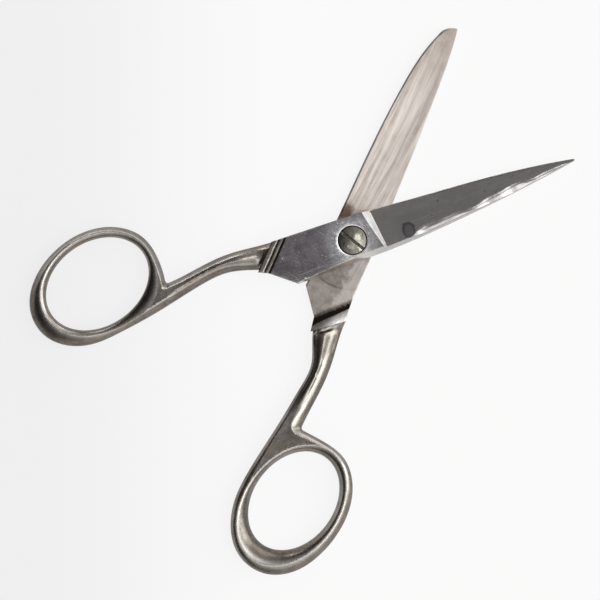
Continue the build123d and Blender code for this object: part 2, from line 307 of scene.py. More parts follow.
def rising(value, start, width):
    """0 up to `start`, and 1 from a `width` beyond it."""
    return np.clip((value - start) / width, 0, 1)


def eased(share):
    """The same share, setting off and arriving gently."""
    return share**2 * (3 - 2 * share)


def swelling(turn, top, sharpness):
    """1 at the turn `top`, and 0 on the opposite side."""
    return ((1 + np.cos(np.radians(turn - top))) / 2) ** sharpness


# ------------------------------------------------------------------ lines in the plan

def shares(points):
    """How far along a line each of its points lies, from 0 to 1."""
    steps = np.linalg.norm(np.diff(points, axis=0), axis=1)
    reached = np.concatenate([[0.0], np.cumsum(steps)])
    return reached / reached[-1]


def end_aim(knots, points):
    """How a cubic through the first four points sets off from the first of them."""
    return np.polyfit(knots[:4] - knots[0], points[:4], min(3, len(knots) - 1))[-2]


def smooth_line(points, knots, at):
    """Points at the shares `at` of the smooth line through points that lie at the shares `knots`."""
    gaps = np.diff(knots)
    slopes = np.diff(points, axis=0) / gaps[:, None]
    system = np.zeros((len(points), len(points)))
    pull = np.zeros_like(points)
    system[0, :2] = (2 * gaps[0], gaps[0])
    system[-1, -2:] = (gaps[-1], 2 * gaps[-1])
    pull[0] = 6 * (slopes[0] - end_aim(knots, points))
    pull[-1] = 6 * (end_aim(knots[::-1], points[::-1]) - slopes[-1])
    for index in range(1, len(points) - 1):
        before, after = gaps[index - 1], gaps[index]
        system[index, index - 1:index + 2] = (before, 2 * (before + after), after)
        pull[index] = 6 * (slopes[index] - slopes[index - 1])
    bend = np.linalg.solve(system, pull)
    span = np.clip(np.searchsorted(knots, at, side="right") - 1, 0, len(gaps) - 1)
    gap = gaps[span][:, None]
    rest = (knots[span + 1] - at)[:, None] / gap
    done = 1 - rest
    curve = (rest**3 - rest) * bend[span] + (done**3 - done) * bend[span + 1]
    return rest * points[span] + done * points[span + 1] + curve * gap**2 / 6


def sampled(points, spacing):
    """The smooth line through points, as points about `spacing` apart."""
    points = np.asarray(points, float)
    length = np.linalg.norm(np.diff(points, axis=0), axis=1).sum()
    return smooth_line(points, shares(points), np.linspace(0, 1, int(length / spacing) + 2))


def straight(first, last, spacing):
    """Points about `spacing` apart on a straight line."""
    first, last = np.asarray(first, float), np.asarray(last, float)
    count = max(int(np.linalg.norm(last - first) / spacing), 1) + 1
    return np.linspace(first, last, count)


def arc_through(first, middle, last, count):
    """Points on the circular arc through three points."""
    (ax, ay), (bx, by), (cx, cy) = first, middle, last
    system = np.array([[bx - ax, by - ay], [cx - ax, cy - ay]])
    sums = np.array([bx**2 - ax**2 + by**2 - ay**2, cx**2 - ax**2 + cy**2 - ay**2]) / 2
    centre = np.linalg.solve(system, sums)
    turns = np.unwrap([np.arctan2(y - centre[1], x - centre[0]) for x, y in (first, middle, last)])
    radius = np.hypot(ax - centre[0], ay - centre[1])
    sweep = np.linspace(turns[0], turns[-1], count)
    return centre + radius * np.stack([np.cos(sweep), np.sin(sweep)], -1)


def circle(radius):
    turns = np.linspace(0, 2 * pi, 96, endpoint=False)
    return radius * np.stack([np.cos(turns), np.sin(turns)], -1)


def to_the_left(ahead):
    """Unit vectors to the left of some directions."""
    ahead = ahead / np.linalg.norm(ahead, axis=1, keepdims=True)
    return np.stack([-ahead[:, 1], ahead[:, 0]], -1)


def moved_in(loop, amount):
    """A closed loop moved inwards by a small amount."""
    normal = to_the_left(np.roll(loop, -1, 0) - loop)
    corner = normal + np.roll(normal, 1, 0)
    corner /= np.maximum(np.einsum("ij,ij->i", corner, normal), 0.4)[:, None]
    turned_left = np.sum(loop[:, 0] * np.roll(loop[:, 1], -1) - loop[:, 1] * np.roll(loop[:, 0], -1)) > 0
    return loop + corner * (amount if turned_left else -amount)


def upward(offsets):
    """Shifts along +Y."""
    return np.stack([np.zeros(len(offsets)), offsets], -1)


def side_by_side(line, gap):
    """A line with a neighbour on each side."""
    if len(line) < 2:
        return []
    aside = to_the_left(np.gradient(line, axis=0)) * gap
    return [line - aside, line, line + aside]


def runs(line, kept):
    """The unbroken runs of a line's kept points."""
    pieces = np.split(np.arange(len(line)), np.where(np.diff(kept))[0] + 1)
    return [line[piece] for piece in pieces if kept[piece[0]] and len(piece) > 1]


def clipped(lines, loop):
    """What lies of some open lines inside a closed loop, as (points, closed)."""
    return [(run, False) for line in lines for run in runs(line, inside(line, loop))]


def distance_to(spots, line, closed=True):
    """Each spot's distance to a line."""
    starts = line if closed else line[:-1]
    ends = np.roll(line, -1, 0) if closed else line[1:]
    nearest = np.full(len(spots), 1e9)
    for start, end in zip(starts, ends):
        run = end - start
        share = np.clip((spots - start) @ run / max(run @ run, 1e-12), 0, 1)
        gap = spots - start - share[:, None] * run
        nearest = np.minimum(nearest, np.einsum("ij,ij->i", gap, gap))
    return np.sqrt(nearest)


def inside(spots, loop):
    """Whether each spot is inside a closed loop."""
    crossings = np.zeros(len(spots), bool)
    x, y = spots[:, 0], spots[:, 1]
    for (ax, ay), (bx, by) in zip(loop, np.roll(loop, -1, 0)):
        if ay != by:
            spans = (ay > y) != (by > y)
            crossings ^= spans & (x < (bx - ax) * (y - ay) / (by - ay) + ax)
    return crossings


def within(spots, outline, holes):
    """Whether each spot is inside an outline and outside its holes."""
    kept = inside(spots, outline)
    for hole in holes:
        kept &= ~inside(spots, hole)
    return kept


# ------------------------------------------------------------------ meshes

def soft_min(first, second, blend):
    """The lower of two heights, with their crease rounded over."""
    near = np.maximum(blend - np.abs(first - second), 0) / blend
    return np.minimum(first, second) - near**2 * blend / 4


def soft_max(first, second, blend):
    return -soft_min(-first, -second, blend)


def filled(outline, holes, lines, spacing):
    """Flat triangles that fill an outline round its holes and follow the lines.

    Returns the points and the triangles. `lines` is a list of (points, closed).
    """
    loops = [(outline, True), *((hole, True) for hole in holes), *lines]
    low, high = outline.min(0), outline.max(0)
    rows = np.arange(low[1], high[1], spacing * sqrt(3) / 2)
    columns = np.arange(low[0], high[0], spacing)
    grid = np.array([
        (x + (spacing / 2 if index % 2 else 0), y) for index, y in enumerate(rows) for x in columns
    ])
    grid = grid[within(grid, outline, holes)]
    spots, edges = [], []
    for loop, closed in loops:
        grid = grid[distance_to(grid, loop, closed) > spacing * 0.45]
        first, last = len(spots), len(spots) + len(loop) - 1
        spots.extend(loop)
        edges.extend((start, start + 1) for start in range(first, last))
        if closed:
            edges.append((last, first))
    spots.extend(grid)
    flat = [Vector((float(x), float(y))) for x, y in spots]
    points, _, faces, _, _, _ = delaunay_2d_cdt(flat, edges, [], 0, 1e-7, False)
    points = np.array([tuple(point) for point in points])
    faces = np.array(faces)
    faces = faces[within(points[faces].mean(1), outline, holes)]
    a, b, c = (points[faces[:, corner]] for corner in range(3))
    area = np.cross(b - a, c - a)
    faces[area < 0] = faces[area < 0][:, ::-1]
    return points, faces


class Forging:
    """Collects the corners and faces of one piece, each face with its finish.

    Each corner carries two marks from 0 to 1: how bright it is, from rubbing and from painted highlights,
    and how dark it is, from dirt and from painted shade.
    """

    MARKS = ("wear_and_sheen", "grime_and_shade")

    def __init__(self):
        self.corners = []
        self.marks = []
        self.faces = []
        self.finishes = []
        self.count = 0

    def add(self, corners, faces, finishes, wear_and_sheen=0.0, grime_and_shade=0.0):
        """`finishes` is one number, or one for each face."""
        self.corners.append(np.asarray(corners, float))
        self.marks.append(np.stack([np.broadcast_to(mark, len(corners)) for mark in (wear_and_sheen, grime_and_shade)], -1))
        self.faces.extend([self.count + corner for corner in face] for face in faces)
        self.finishes.extend(np.broadcast_to(finishes, len(faces)))
        self.count += len(corners)

    def slab(self, plan, upper, lower, side_finish):
        """A solid between two heights over a flat mesh; each side is (heights, finishes, wear_and_sheen,
        grime_and_shade).
        """
        points, triangles = plan
        top = np.column_stack([points, upper[0]])
        bottom = np.column_stack([points, lower[0]])
        self.add(top, triangles, *upper[1:])
        self.add(bottom, triangles[:, ::-1], *lower[1:])
        pairs = {(a, b) for face in triangles.tolist() for a, b in zip(face, face[1:] + face[:1])}
        rims = [(a, b) for a, b in sorted(pairs) if (b, a) not in pairs]
        walls = [(a + len(points), b + len(points), b, a) for a, b in rims]
        middles = np.array([(points[a] + points[b]) / 2 for a, b in rims])
        grime_and_shade = np.concatenate([np.broadcast_to(side[3], len(points)) for side in (upper, lower)])
        self.add(np.vstack([top, bottom]), walls, side_finish(middles), 0.0, grime_and_shade)

    def strip(self, levels, finish, wear_and_sheen, grime_and_shade):
        """Faces between closed loops of points that lie one above another."""
        count = len(levels[0])
        faces = [
            (row * count + step, row * count + (step + 1) % count,
             (row + 1) * count + (step + 1) % count, (row + 1) * count + step)
            for row in range(len(levels) - 1) for step in range(count)
        ]
        self.add(np.vstack(levels), faces, finish, np.concatenate(wear_and_sheen), np.concatenate(grime_and_shade))

    def mesh(self, name):
        """The collected faces as a closed mesh, with equal corners joined."""
        mesh = bpy.data.meshes.new(name)
        mesh.from_pydata(np.vstack(self.corners).tolist(), [], self.faces)
        mesh.polygons.foreach_set("material_index", np.array(self.finishes, np.int32))
        marks = np.vstack(self.marks)
        for column, mark in enumerate(self.MARKS):
            layer = mesh.attributes.new(mark, "FLOAT", "POINT")
            layer.data.foreach_set("value", np.ascontiguousarray(marks[:, column], np.float32))
        bm = bmesh.new()
        bm.from_mesh(mesh)
        bmesh.ops.remove_doubles(bm, verts=bm.verts, dist=1e-4)
        bmesh.ops.dissolve_degenerate(bm, edges=bm.edges, dist=1e-5)
        bmesh.ops.recalc_face_normals(bm, faces=bm.faces)
        bm.to_mesh(mesh)
        bm.free()
        return mesh


def cut_square(mesh, point, normal):
    """Takes away what lies behind a plane, and closes the cut."""
    bm = bmesh.new()
    bm.from_mesh(mesh)
    everything = [*bm.verts, *bm.edges, *bm.faces]
    bmesh.ops.bisect_plane(bm, geom=everything, dist=1e-5, plane_co=point, plane_no=normal, clear_inner=True)
    bmesh.ops.holes_fill(bm, edges=[edge for edge in bm.edges if edge.is_boundary])
    bmesh.ops.recalc_face_normals(bm, faces=bm.faces)
    bm.to_mesh(mesh)
    bm.free()


def laid_out(name, meshes, place, finishes):
    """One object made of meshes, in metres in the row's frame."""
    bm = bmesh.new()
    for mesh in meshes:
        bm.from_mesh(mesh)
        bpy.data.meshes.remove(mesh)
    turning, shift = place
    matrix = Matrix(turning.tolist()).to_4x4()
    matrix.translation = Vector(shift)
    bm.transform(Matrix.Scale(MILLIMETRE, 4) @ matrix)
    joined = bpy.data.meshes.new(name)
    for material in finishes:
        joined.materials.append(material)
    bm.to_mesh(joined)
    bm.free()
    joined.shade_smooth()
    joined.set_sharp_from_angle(angle=radians(SHARP_ANGLE))
    piece = bpy.data.objects.new(name, joined)
    bpy.context.scene.collection.objects.link(piece)
    piece.modifiers.new("flat_faces_lead", "WEIGHTED_NORMAL").keep_sharp = True
    return piece


# ------------------------------------------------------------------ one half

PLATED, RICASSO, BLADE, GROUND, BRIGHT = range(5)


class Plate:
    """Blade, ricasso and bolster of one half, as heights over its plan."""

    def __init__(self, half, other):
        self.half = half
        self.lean = radians(SHOULDER_LEAN)
        top = half.bolster_point(BOLSTER_LENGTH, half.bolster_top)
        low = half.bolster_point(BOLSTER_LENGTH, half.bolster_low)
        self.edge = sampled([top, *half.edge], 0.5)
        self.back = sampled(half.back, 0.5)
        nose = arc_through(*half.nose, 14)
        heel = [
            straight(here, there, 0.4)[1:]
            for here, there in zip([half.back[-1], *half.heel], [*half.heel, low])
        ]
        self.sides = np.vstack([self.edge, nose[1:-1], self.back, *heel])
        self.outline = np.vstack([self.sides, straight(low, top, 0.3)[1:-1]])
        self.below = np.vstack([[half.heel[0]], self.back[::-1], nose[::-1]])
        corner, end = (np.array((x, -y)) for x, y in other.heel)
        beyond = 2 * corner - end
        end_x, end_y = other.bolster_point(BOLSTER_LENGTH, other.bolster_low)
        self.room = np.array([beyond, end, (end_x, -end_y), (end_x, -80), (80, -80), (80, beyond[1])])
        self.back_crease = self.crease(self.back, BACK_BEVEL_FOOT, BACK_BEVEL_RUN, 1)
        self.edge_crease = self.crease(self.edge, RUNNING_GAP + EDGE_THICKNESS, EDGE_BEVEL_RUN, -1)

    def crease(self, line, foot, run, inward):
        """How far in from a line a bevel meets the blade's face, at each of its points."""
        reach = np.full(len(line), 0.5)
        for _ in range(12):
            height = self.blade(line + upward(inward * reach))
            reach = np.maximum(height - foot, 0.02) * run
        return reach

    def from_back(self, spots):
        return spots[:, 1] - np.interp(spots[:, 0], self.below[:, 0], self.below[:, 1])

    def from_edge(self, spots):
        return np.interp(spots[:, 0], self.edge[:, 0], self.edge[:, 1]) - spots[:, 1]

    def before_shoulder(self, spots):
        return (SHOULDER_X - spots[:, 0]) * cos(self.lean) - spots[:, 1] * sin(self.lean)

    def past_heel(self, spots, further=0):
        return spots[:, 0] > self.half.heel[0][0] + further

    def blade_plane(self, spots):
        return self.half.spine - self.half.tip_slope * spots[:, 0] - self.half.edge_slope * spots[:, 1]

    def blade(self, spots):
        """The blade's ground face, which rolls over in a wavy line towards the back."""
        x = spots[:, 0]
        from_back = self.from_back(spots)
        width = np.maximum(from_back + self.from_edge(spots), 0.5)
        wave = sum(size * np.sin(x / length + start) for size, length, start in ROLL_WAVES)
        into_roll = np.clip(np.interp(x, ROLL_X, ROLL_SHARE) * width * (1 + wave) - from_back, 0, None)
        slope = ROLL_SLOPE * np.interp(x, [SHOULDER_X + 3, SHOULDER_X + 12], [0, 1])
        start = np.minimum(into_roll, ROLL_START)
        return self.blade_plane(spots) - slope * (start**2 / ROLL_START / 2 + into_roll - start)

    def ricasso_run(self, x):
        """Plan width of the bevel under the ricasso, which narrows towards the heel."""
        return RICASSO_BEVEL_WIDTH * np.interp(x, [self.half.heel[0][0], 2], [HEEL_BEVEL_SHARE, 1])

    def outer(self, spots, from_rim):
        """Height of the outer face."""
        before = self.before_shoulder(spots)
        from_back = self.from_back(spots)
        ricasso_run = self.ricasso_run(spots[:, 0])
        fall, reach = BEVEL_ROLL
        rolled = fall * np.clip(reach - (from_back - ricasso_run), 0, reach + 0.2) ** 2
        fall, reach = RIM_FALL
        rolled = np.maximum(rolled * self.past_heel(spots), fall * np.maximum(reach - from_rim, 0) ** 2)
        shoulder = self.blade(spots) + soft_max(before, 0, SHOULDER_FOOT_BLEND) / SHOULDER_RUN
        height = soft_min(TABLE_TO_JOINT - rolled, shoulder, SHOULDER_BLEND)
        bevel = BACK_BEVEL_FOOT + from_back / (ricasso_run / (TABLE_TO_JOINT - BACK_BEVEL_FOOT))
        height = np.where(self.past_heel(spots), soft_min(height, bevel, BEVEL_BLEND), height)
        edge_bevel = RUNNING_GAP + EDGE_THICKNESS + self.from_edge(spots) / EDGE_BEVEL_RUN
        height = np.where(before < 0.05, soft_min(height, edge_bevel, EDGE_BLEND), height)
        for groove in GROOVES:
            off_groove = np.abs(self.half.behind(spots) - groove)
            height = soft_min(height, TABLE_TO_JOINT - GROOVE_DEPTH + off_groove, GROOVE_BLEND)
        return height

    def step(self, spots):
        """The height of the slope that makes room for the other half's heel, and the distance from that."""
        away = distance_to(spots, self.room)
        outside = np.where(inside(spots, self.room), -away, away)
        fall = np.maximum(outside - HEEL_CLEARANCE, 0) / STEP_RUN
        return RUNNING_GAP - fall, outside

    def inner(self, spots):
        """Height of the inner face, which is hollow ground along the blade."""
        barrel = (HOLLOW_WIDTH**2 / 4 + HOLLOW_DEPTH**2) / (2 * HOLLOW_DEPTH)
        sweep = rising(spots[:, 0], HOLLOW_START, HOLLOW_LENGTH)
        off_middle = spots[:, 1] - self.half.middle
        hollow = np.maximum(HOLLOW_DEPTH * 4 * sweep * (1 - sweep) - off_middle**2 / (2 * barrel), 0)
        bevel = RUNNING_GAP + INNER_BEVEL_HEIGHT * (1 - self.from_back(spots) / INNER_BEVEL_WIDTH)
        height = RUNNING_GAP + hollow
        height = np.where(self.past_heel(spots), np.maximum(height, bevel), height)
        step = soft_max(self.step(spots)[0], np.full(len(spots), -TABLE_TO_JOINT), STEP_FOOT_BLEND)
        on_bolster = self.half.behind(spots) > -BOLSTER_LENGTH
        return np.where(on_bolster, soft_min(height, step, STEP_BLEND), height)

    def lines(self):
        """Lines that the plan's triangles follow, so that every crease and roll is drawn cleanly."""
        lines = []
        for inset in FALL_INSETS:
            ring = moved_in(self.outline, inset)
            lines += runs(ring, distance_to(ring, self.outline) > 0.97 * inset)
        beyond_shoulder = self.before_shoulder(self.back) < -0.4
        corner = straight(self.half.heel[0], self.half.back[-1], 0.4)
        shoulder = [(SHOULDER_X - y * tan(self.lean), y) for y in np.arange(-6.3, 7.0, 0.35)]
        drop = TABLE_TO_JOINT - self.blade_plane(np.array(shoulder))
        crest = [(x - fall * SHOULDER_RUN / cos(self.lean), y) for (x, y), fall in zip(shoulder, drop)]
        creases = [
            (self.back + upward(self.back_crease))[beyond_shoulder],
            (self.back + upward(self.ricasso_run(self.back[:, 0])))[~beyond_shoulder],
            corner + upward(self.ricasso_run(corner[:, 0])),
            (self.edge - upward(self.edge_crease))[self.before_shoulder(self.edge) < 0.2],
            np.array(shoulder),
            np.array(crest),
        ]
        for crease in creases:
            lines += side_by_side(crease, 0.08) + side_by_side(crease, 0.22)[::2]
        width = np.interp(self.back[:, 0], self.edge[:, 0], self.edge[:, 1]) - self.back[:, 1]
        lines += [self.back + upward(share * width) for share in ROLL_LINES]
        for offset in BEVEL_LINES:
            lines += [(self.back + (0, offset))[~beyond_shoulder], corner + (0, offset)]
        lines.append(self.back + (0, INNER_BEVEL_WIDTH))
        for groove in GROOVES:
            for aside in GROOVE_LINES:
                low, high = (self.half.bolster_point(groove + aside, y) for y in (-8, 11))
                lines.append(straight(low, high, 0.5))
        for gap in STEP_LINES:
            line = self.contour(gap, 0.4)
            lines.append(line[self.half.behind(line) > -BOLSTER_LENGTH])
        rings = [(moved_in(self.outline, inset), True) for inset in ROUNDING_INSETS]
        return rings + clipped(lines, self.outline)

    def contour(self, gap, spacing):
        """The line on the step that lies a gap away from the other half's heel."""
        first, corner, last = moved_in(self.room, -gap)[:3]
        return np.vstack([straight(first, corner, spacing), straight(corner, last, spacing)[1:]])

    def outer_finish(self, middles):
        x = middles[:, 0]
        before = self.before_shoulder(middles)
        shoulder = self.blade_plane(middles) + before / SHOULDER_RUN
        finish = np.where(before > 0, RICASSO, BLADE)
        finish = np.where((before > 0) & (shoulder < TABLE_TO_JOINT), BRIGHT, finish)
        crease = np.interp(x, self.back[::-1, 0], self.back_crease[::-1])
        crease = np.where(before > -0.4, self.ricasso_run(x), crease)
        finish = np.where((self.from_back(middles) < crease) & self.past_heel(middles), BRIGHT, finish)
        return np.where(self.half.behind(middles) > 0, PLATED, finish)

    def inner_finish(self, middles):
        behind = self.half.behind(middles)
        bolster = (behind > -BOLSTER_LENGTH) & (self.step(middles)[1] > HEEL_CLEARANCE)
        on_slope = bolster & (behind < BOLSTER_LENGTH)
        return np.where(on_slope, BRIGHT, np.where(bolster, PLATED, GROUND))

    def side_finish(self, middles):
        return np.where(self.half.behind(middles) > 0, PLATED, RICASSO)

    def upper_marks(self, spots, wear_and_sheen, away):
        """Rubbed edges with painted highlights, and dirt with painted shade, on the outer face; `away` is
        how far from the screw's seat, where there is one.
        """
        behind = self.half.behind(spots)
        off_crease = np.abs(self.from_back(spots) - self.ricasso_run(spots[:, 0]))
        on_ricasso = (self.before_shoulder(spots) > 1) & self.past_heel(spots, 0.6)
        wear_and_sheen = np.maximum(wear_and_sheen, fading(off_crease, 0.3) * on_ricasso)
        # The moulding's ridge is rubbed bright, and a painted highlight is laid over it, stronger than the
        # rubbing alone.
        wear_and_sheen = np.maximum(wear_and_sheen, 1.6 * fading(np.abs(behind - GROOVES[1] - 0.28), 0.2, 1.9))
        # Painted shade with dirt: faint past the second groove, dark in the first groove, half as dark
        # beside the second, and dark at the bolster's end.
        grime_and_shade = 0.07 * (behind > GROOVES[1] + 0.4)
        for groove, strength in ((0, 1.0), (GROOVES[1] - 0.15, 0.5)):
            grime_and_shade = np.maximum(grime_and_shade, strength * fading(np.abs(behind - groove), 0.36, 1.25))
        grime_and_shade = np.maximum(grime_and_shade, 0.9 * rising(behind, BOLSTER_LENGTH - 0.5, 0.4))
        if away is None:
            return wear_and_sheen, grime_and_shade
        # The seat's rim is rubbed bright, with a painted highlight round it.
        wear_and_sheen = np.maximum(wear_and_sheen, fading(np.abs(away - RIM_WIDTH), 0.35, 1.5))
        # The seat's floor under the screw head is darkened fully: painted shade with dirt.
        return wear_and_sheen, np.where(away < -STEEP / 2, 1.0, grime_and_shade)

    def lower_marks(self, spots, wear_and_sheen):
        """Rubbed edges of the inner face, and dirt with painted shade along the step, where the other half's
        heel lies over it.
        """
        half = self.half
        outside = self.step(spots)[1]
        across = rising(spots[:, 1], half.bolster_low, half.bolster_top - half.bolster_low)
        band = rising(outside - 0.6 * across, -2.3, 1.9) * fading(outside, 0.2, 3.75)
        on_slope = rising(outside, HEEL_CLEARANCE, 0.2) * fading(across, 1.25, 0.5)
        on_bolster = half.behind(spots) > -BOLSTER_LENGTH - 1
        return wear_and_sheen * (outside < 0), np.maximum(band, on_slope) * on_bolster

    def forge(self, hole_radius, rings):
        """The plate as a mesh. `rings` are circles round the screw's seat that the triangles follow."""
        lines = self.lines() + [(circle(radius), True) for radius in rings]
        plan = filled(self.outline, [circle(hole_radius)], lines, PLATE_SPACING)
        spots, triangles = plan
        from_rim = distance_to(spots, self.sides, closed=False)
        top = self.outer(spots, from_rim)
        bottom = self.inner(spots)
        middles = spots[triangles].mean(1)
        outer_finish = self.outer_finish(middles)
        away = np.hypot(*spots.T) - SEAT_RADIUS if rings else None
        if rings:
            rim = TABLE_TO_JOINT - RIM_ROLL * np.maximum(RIM_WIDTH - away, 0)
            top = np.minimum(top, np.where(away < -STEEP / 2, SEAT_FLOOR, rim))
            on_rim = np.abs(np.hypot(*middles.T) - SEAT_RADIUS - RIM_WIDTH / 2) < RIM_WIDTH / 2
            outer_finish = np.where(on_rim, BRIGHT, outer_finish)
        radius = np.minimum(RIM_ROUNDING, 0.35 * (top - bottom))
        fallen = radius - np.sqrt(np.maximum(radius**2 - np.maximum(radius - from_rim, 0) ** 2, 0))
        wear_and_sheen = fading(from_rim, 0.5)
        upper = (top - fallen, outer_finish, *self.upper_marks(spots, wear_and_sheen, away))
        lower = (bottom + fallen, self.inner_finish(middles), *self.lower_marks(spots, wear_and_sheen))
        forging = Forging()
        forging.slab(plan, upper, lower, self.side_finish)
        return forging.mesh("plate")


def cove(behind, lip):
    """How deep the cove behind a bolster's end is, which falls quickly from its lip and rises slowly."""
    fall = eased(rising(behind, 0, COVE_FALL))
    rise = eased(rising(behind, COVE_FLOOR_END, COVE_LENGTH - COVE_FLOOR_END))
    return COVE_DEPTH * (lip + (1 - lip) * fall) * (1 - rise)


def handle_heights(half, plate, spots):
    """How far the handle's outer and inner lands lie from the joint plane, and how far they are crowned."""
    behind = half.behind(spots) - BOLSTER_LENGTH
    outer = TABLE_TO_JOINT - cove(behind, COVE_LIP)
    inner = TABLE_TO_JOINT - cove(behind - INNER_RIDGE + 0.2, 0)
    inner = soft_min(inner, np.maximum(-plate.step(spots)[0], HANDLE_STEP_DEPTH), SLOPE_BLEND)
    tucked = TUCK * fading(behind, 0.2)
    return outer - tucked, inner - tucked, half.shank_crown * np.interp(behind, *CROWN_PLACES)


def handle_line(half, ring, inset_low, inset_high, setback, deeper=0.0):
    """The points of a handle's outline: from the bolster round the ring to the crotch, and back."""
    low, high = np.array((0, inset_low)), np.array((0, -inset_high))
    arm = half.bow.point(0, half.bow.width(0)) - ring(0)
    start = half.bolster_point(BOLSTER_LENGTH / 2, half.bolster_low) + low
    end = half.bolster_point(BOLSTER_LENGTH / 2, half.bolster_top) + high
    crotch = half.crotch + high * (1 + deeper / 2) - (arm[0] + deeper, 0)
    shank_low = [point + low for point in half.shank_low]
    shank_high = [point + high for point in half.shank_high]
    ring_line = [ring(turn) for turn in RING_TURNS]
    ring_end, shank_start = (
        crotch + (there - crotch) / np.linalg.norm(there - crotch) * setback
        for there in (ring_line[-1], shank_high[0])
    )
    return np.array([start, *shank_low, *ring_line, ring_end, crotch, shank_start, *shank_high, end])


def rounded_side(inner, widest, outer, waist_height, steps, bluntness):
    """Loops that round a side over, from the inner face by its waist to the outer face."""
    levels = []
    for step in range(-steps, steps + 1):
        turn = pi / 2 * abs(step) / steps
        face, face_height = (inner, -TABLE_TO_JOINT) if step < 0 else (outer, TABLE_TO_JOINT)
        height = waist_height + (face_height - waist_height) * sin(turn)
        drawn_in = 1 - max(cos(turn), 0) ** (2 / bluntness)
        spots = widest + (face - widest) * drawn_in
        levels.append(np.column_stack([spots, np.full(len(spots), height)]))
    return levels


def handle_loops(half, hole):
    """The handle's outline on its inner face, at its waist and on its outer face."""
    bow = half.bow
    lines = (
        handle_line(
            half, lambda turn: hole.point(turn, CREST_WIDTH), INNER_INSET_LOW, INNER_INSET_HIGH,
            INNER_CROTCH_SETBACK, INNER_CROTCH_DEPTH,
        ),
        handle_line(half, lambda turn: bow.point(turn, bow.width(turn)), 0, 0, CROTCH_SETBACK),
        handle_line(
            half, lambda turn: bow.point(turn, CREST_OUTSET + CREST_WIDTH), OUTER_INSET_LOW,
            OUTER_INSET_HIGH, CROTCH_SETBACK,
        ),
    )
    crotch = len(half.shank_low) + len(RING_TURNS) + 2
    out_shares = shares(lines[1][:crotch])
    back_shares = shares(lines[1][crotch + 1:])
    out_at = np.concatenate([np.linspace(0, 0.08, 60), np.linspace(0.08, 1, 340)[1:]])
    back_at = np.concatenate([np.linspace(0, 0.85, 110), np.linspace(0.85, 1, 90)[1:]])
    corner_at = np.linspace(0, 1, 12)[1:-1, None]
    loops = []
    for line in lines:
        before, point, after = line[crotch - 1:crotch + 2]
        rest = 1 - corner_at
        corner = rest**2 * before + 2 * corner_at * rest * point + corner_at**2 * after
        out = smooth_line(line[:crotch], out_shares, out_at)
        back = smooth_line(line[crotch + 1:], back_shares, back_at)
        loops.append(np.vstack([out, corner, back]))
    return loops


def forge_sides(forging, half, plate, loops, rims):
    """The handle's outer sides and the hole's side, rubbed bright towards the faces, and darker at the waist
    with dirt and painted shade.
    """
    outer_sides = rounded_side(*loops, -WAIST, 12, OUTER_BLUNTNESS)
    for levels in (outer_sides, rounded_side(*rims, WAIST, 10, HOLE_BLUNTNESS)[::-1]):
        wear_and_sheen, grime_and_shade, bent = [], [], []
        for level in levels:
            outer, inner, crown = handle_heights(half, plate, level[:, :2])
            height = level[0, 2]
            face = outer if height > 0 else inner
            bent.append(np.column_stack([level[:, :2], height * (face - crown) / TABLE_TO_JOINT]))
            wear_and_sheen.append(np.full(len(level), rising(abs(height), 0.86 * TABLE_TO_JOINT, 1 / 3)))
            # Darker towards the waist, near the table: painted shade, with some dirt.
            grime_and_shade.append(np.full(len(level), 0.28 * fading(abs(height), 0.62 * TABLE_TO_JOINT, 1.6)))
        forging.strip(bent, PLATED, wear_and_sheen, grime_and_shade)


def forge_land(forging, half, plate, rim, ring, side, lines):
    """The handle's outer face (side 1) or inner face (side -1)."""
    spots, triangles = filled(rim, [ring], clipped(lines, rim), HANDLE_SPACING)
    outer, inner, crown = handle_heights(half, plate, spots)
    from_crest = np.minimum(distance_to(spots, rim), distance_to(spots, ring))
    behind = half.behind(spots)
    near = np.abs(behind[:, None] - behind[None, :]) < 0.6
    half_width = np.maximum(np.where(near, from_crest[None, :], 0).max(1), 0.3)
    share = np.clip(from_crest / half_width, 0, 1)
    heights = side * ((outer if side > 0 else inner) - crown * (1 - share) ** 1.5)
    wear_and_sheen = fading(from_crest, 0.3)
    past = behind - BOLSTER_LENGTH
    # Darker in the cove behind the bolster and, on the inner face, just past its ridge: painted shade with
    # dirt.
    if side > 0:
        grime_and_shade = 0.6 * fading(past, 1.2)
    else:
        wear_and_sheen = np.maximum(wear_and_sheen, fading(np.abs(past - INNER_RIDGE + 0.1), 0.2, 1.5))
        grime_and_shade = 0.8 * fading(np.abs(past - INNER_RIDGE - 0.45), 0.35, 1.4)
        grime_and_shade = grime_and_shade * np.clip(from_crest / 1.2, 0.25, 1)
    forging.add(np.column_stack([spots, heights]), triangles[:, ::side], PLATED, wear_and_sheen, grime_and_shade)


def forge_handle(half, plate):
    """Shank and finger ring, up to the end of the bolster."""
    bow, hole = half.bow, half.bow.on_inner_face()
    loops = handle_loops(half, hole)
    turns = np.linspace(0, 360, 260, endpoint=False)
    flare = CREST_OUTSET + half.web_flare * swelling(turns, WEB_TURN, WEB_SHARPNESS)
    rims = [hole.point(turns, 0 * turns), bow.point(turns, 0 * turns), bow.point(turns, flare)]
    forging = Forging()
    forge_sides(forging, half, plate, loops, rims)
    rungs = [
        straight(half.bolster_point(behind, -4), half.bolster_point(behind, 13), 0.4) for behind in RUNGS
    ]
    contours = []
    for gap in HANDLE_STEP_LINES:
        line = plate.contour(gap, 0.3)
        contours += runs(line, half.behind(line) > BOLSTER_LENGTH - 0.3)
    forge_land(forging, half, plate, loops[0], rims[0], -1, rungs + contours)
    forge_land(forging, half, plate, loops[2], rims[2], 1, rungs)
    mesh = forging.mesh("handle")
    turn = radians(BOLSTER_ANGLE)
    cut_square(mesh, (*half.bolster_point(BOLSTER_LENGTH - 0.12, 0), 0), (-sin(turn), cos(turn), 0))
    return mesh


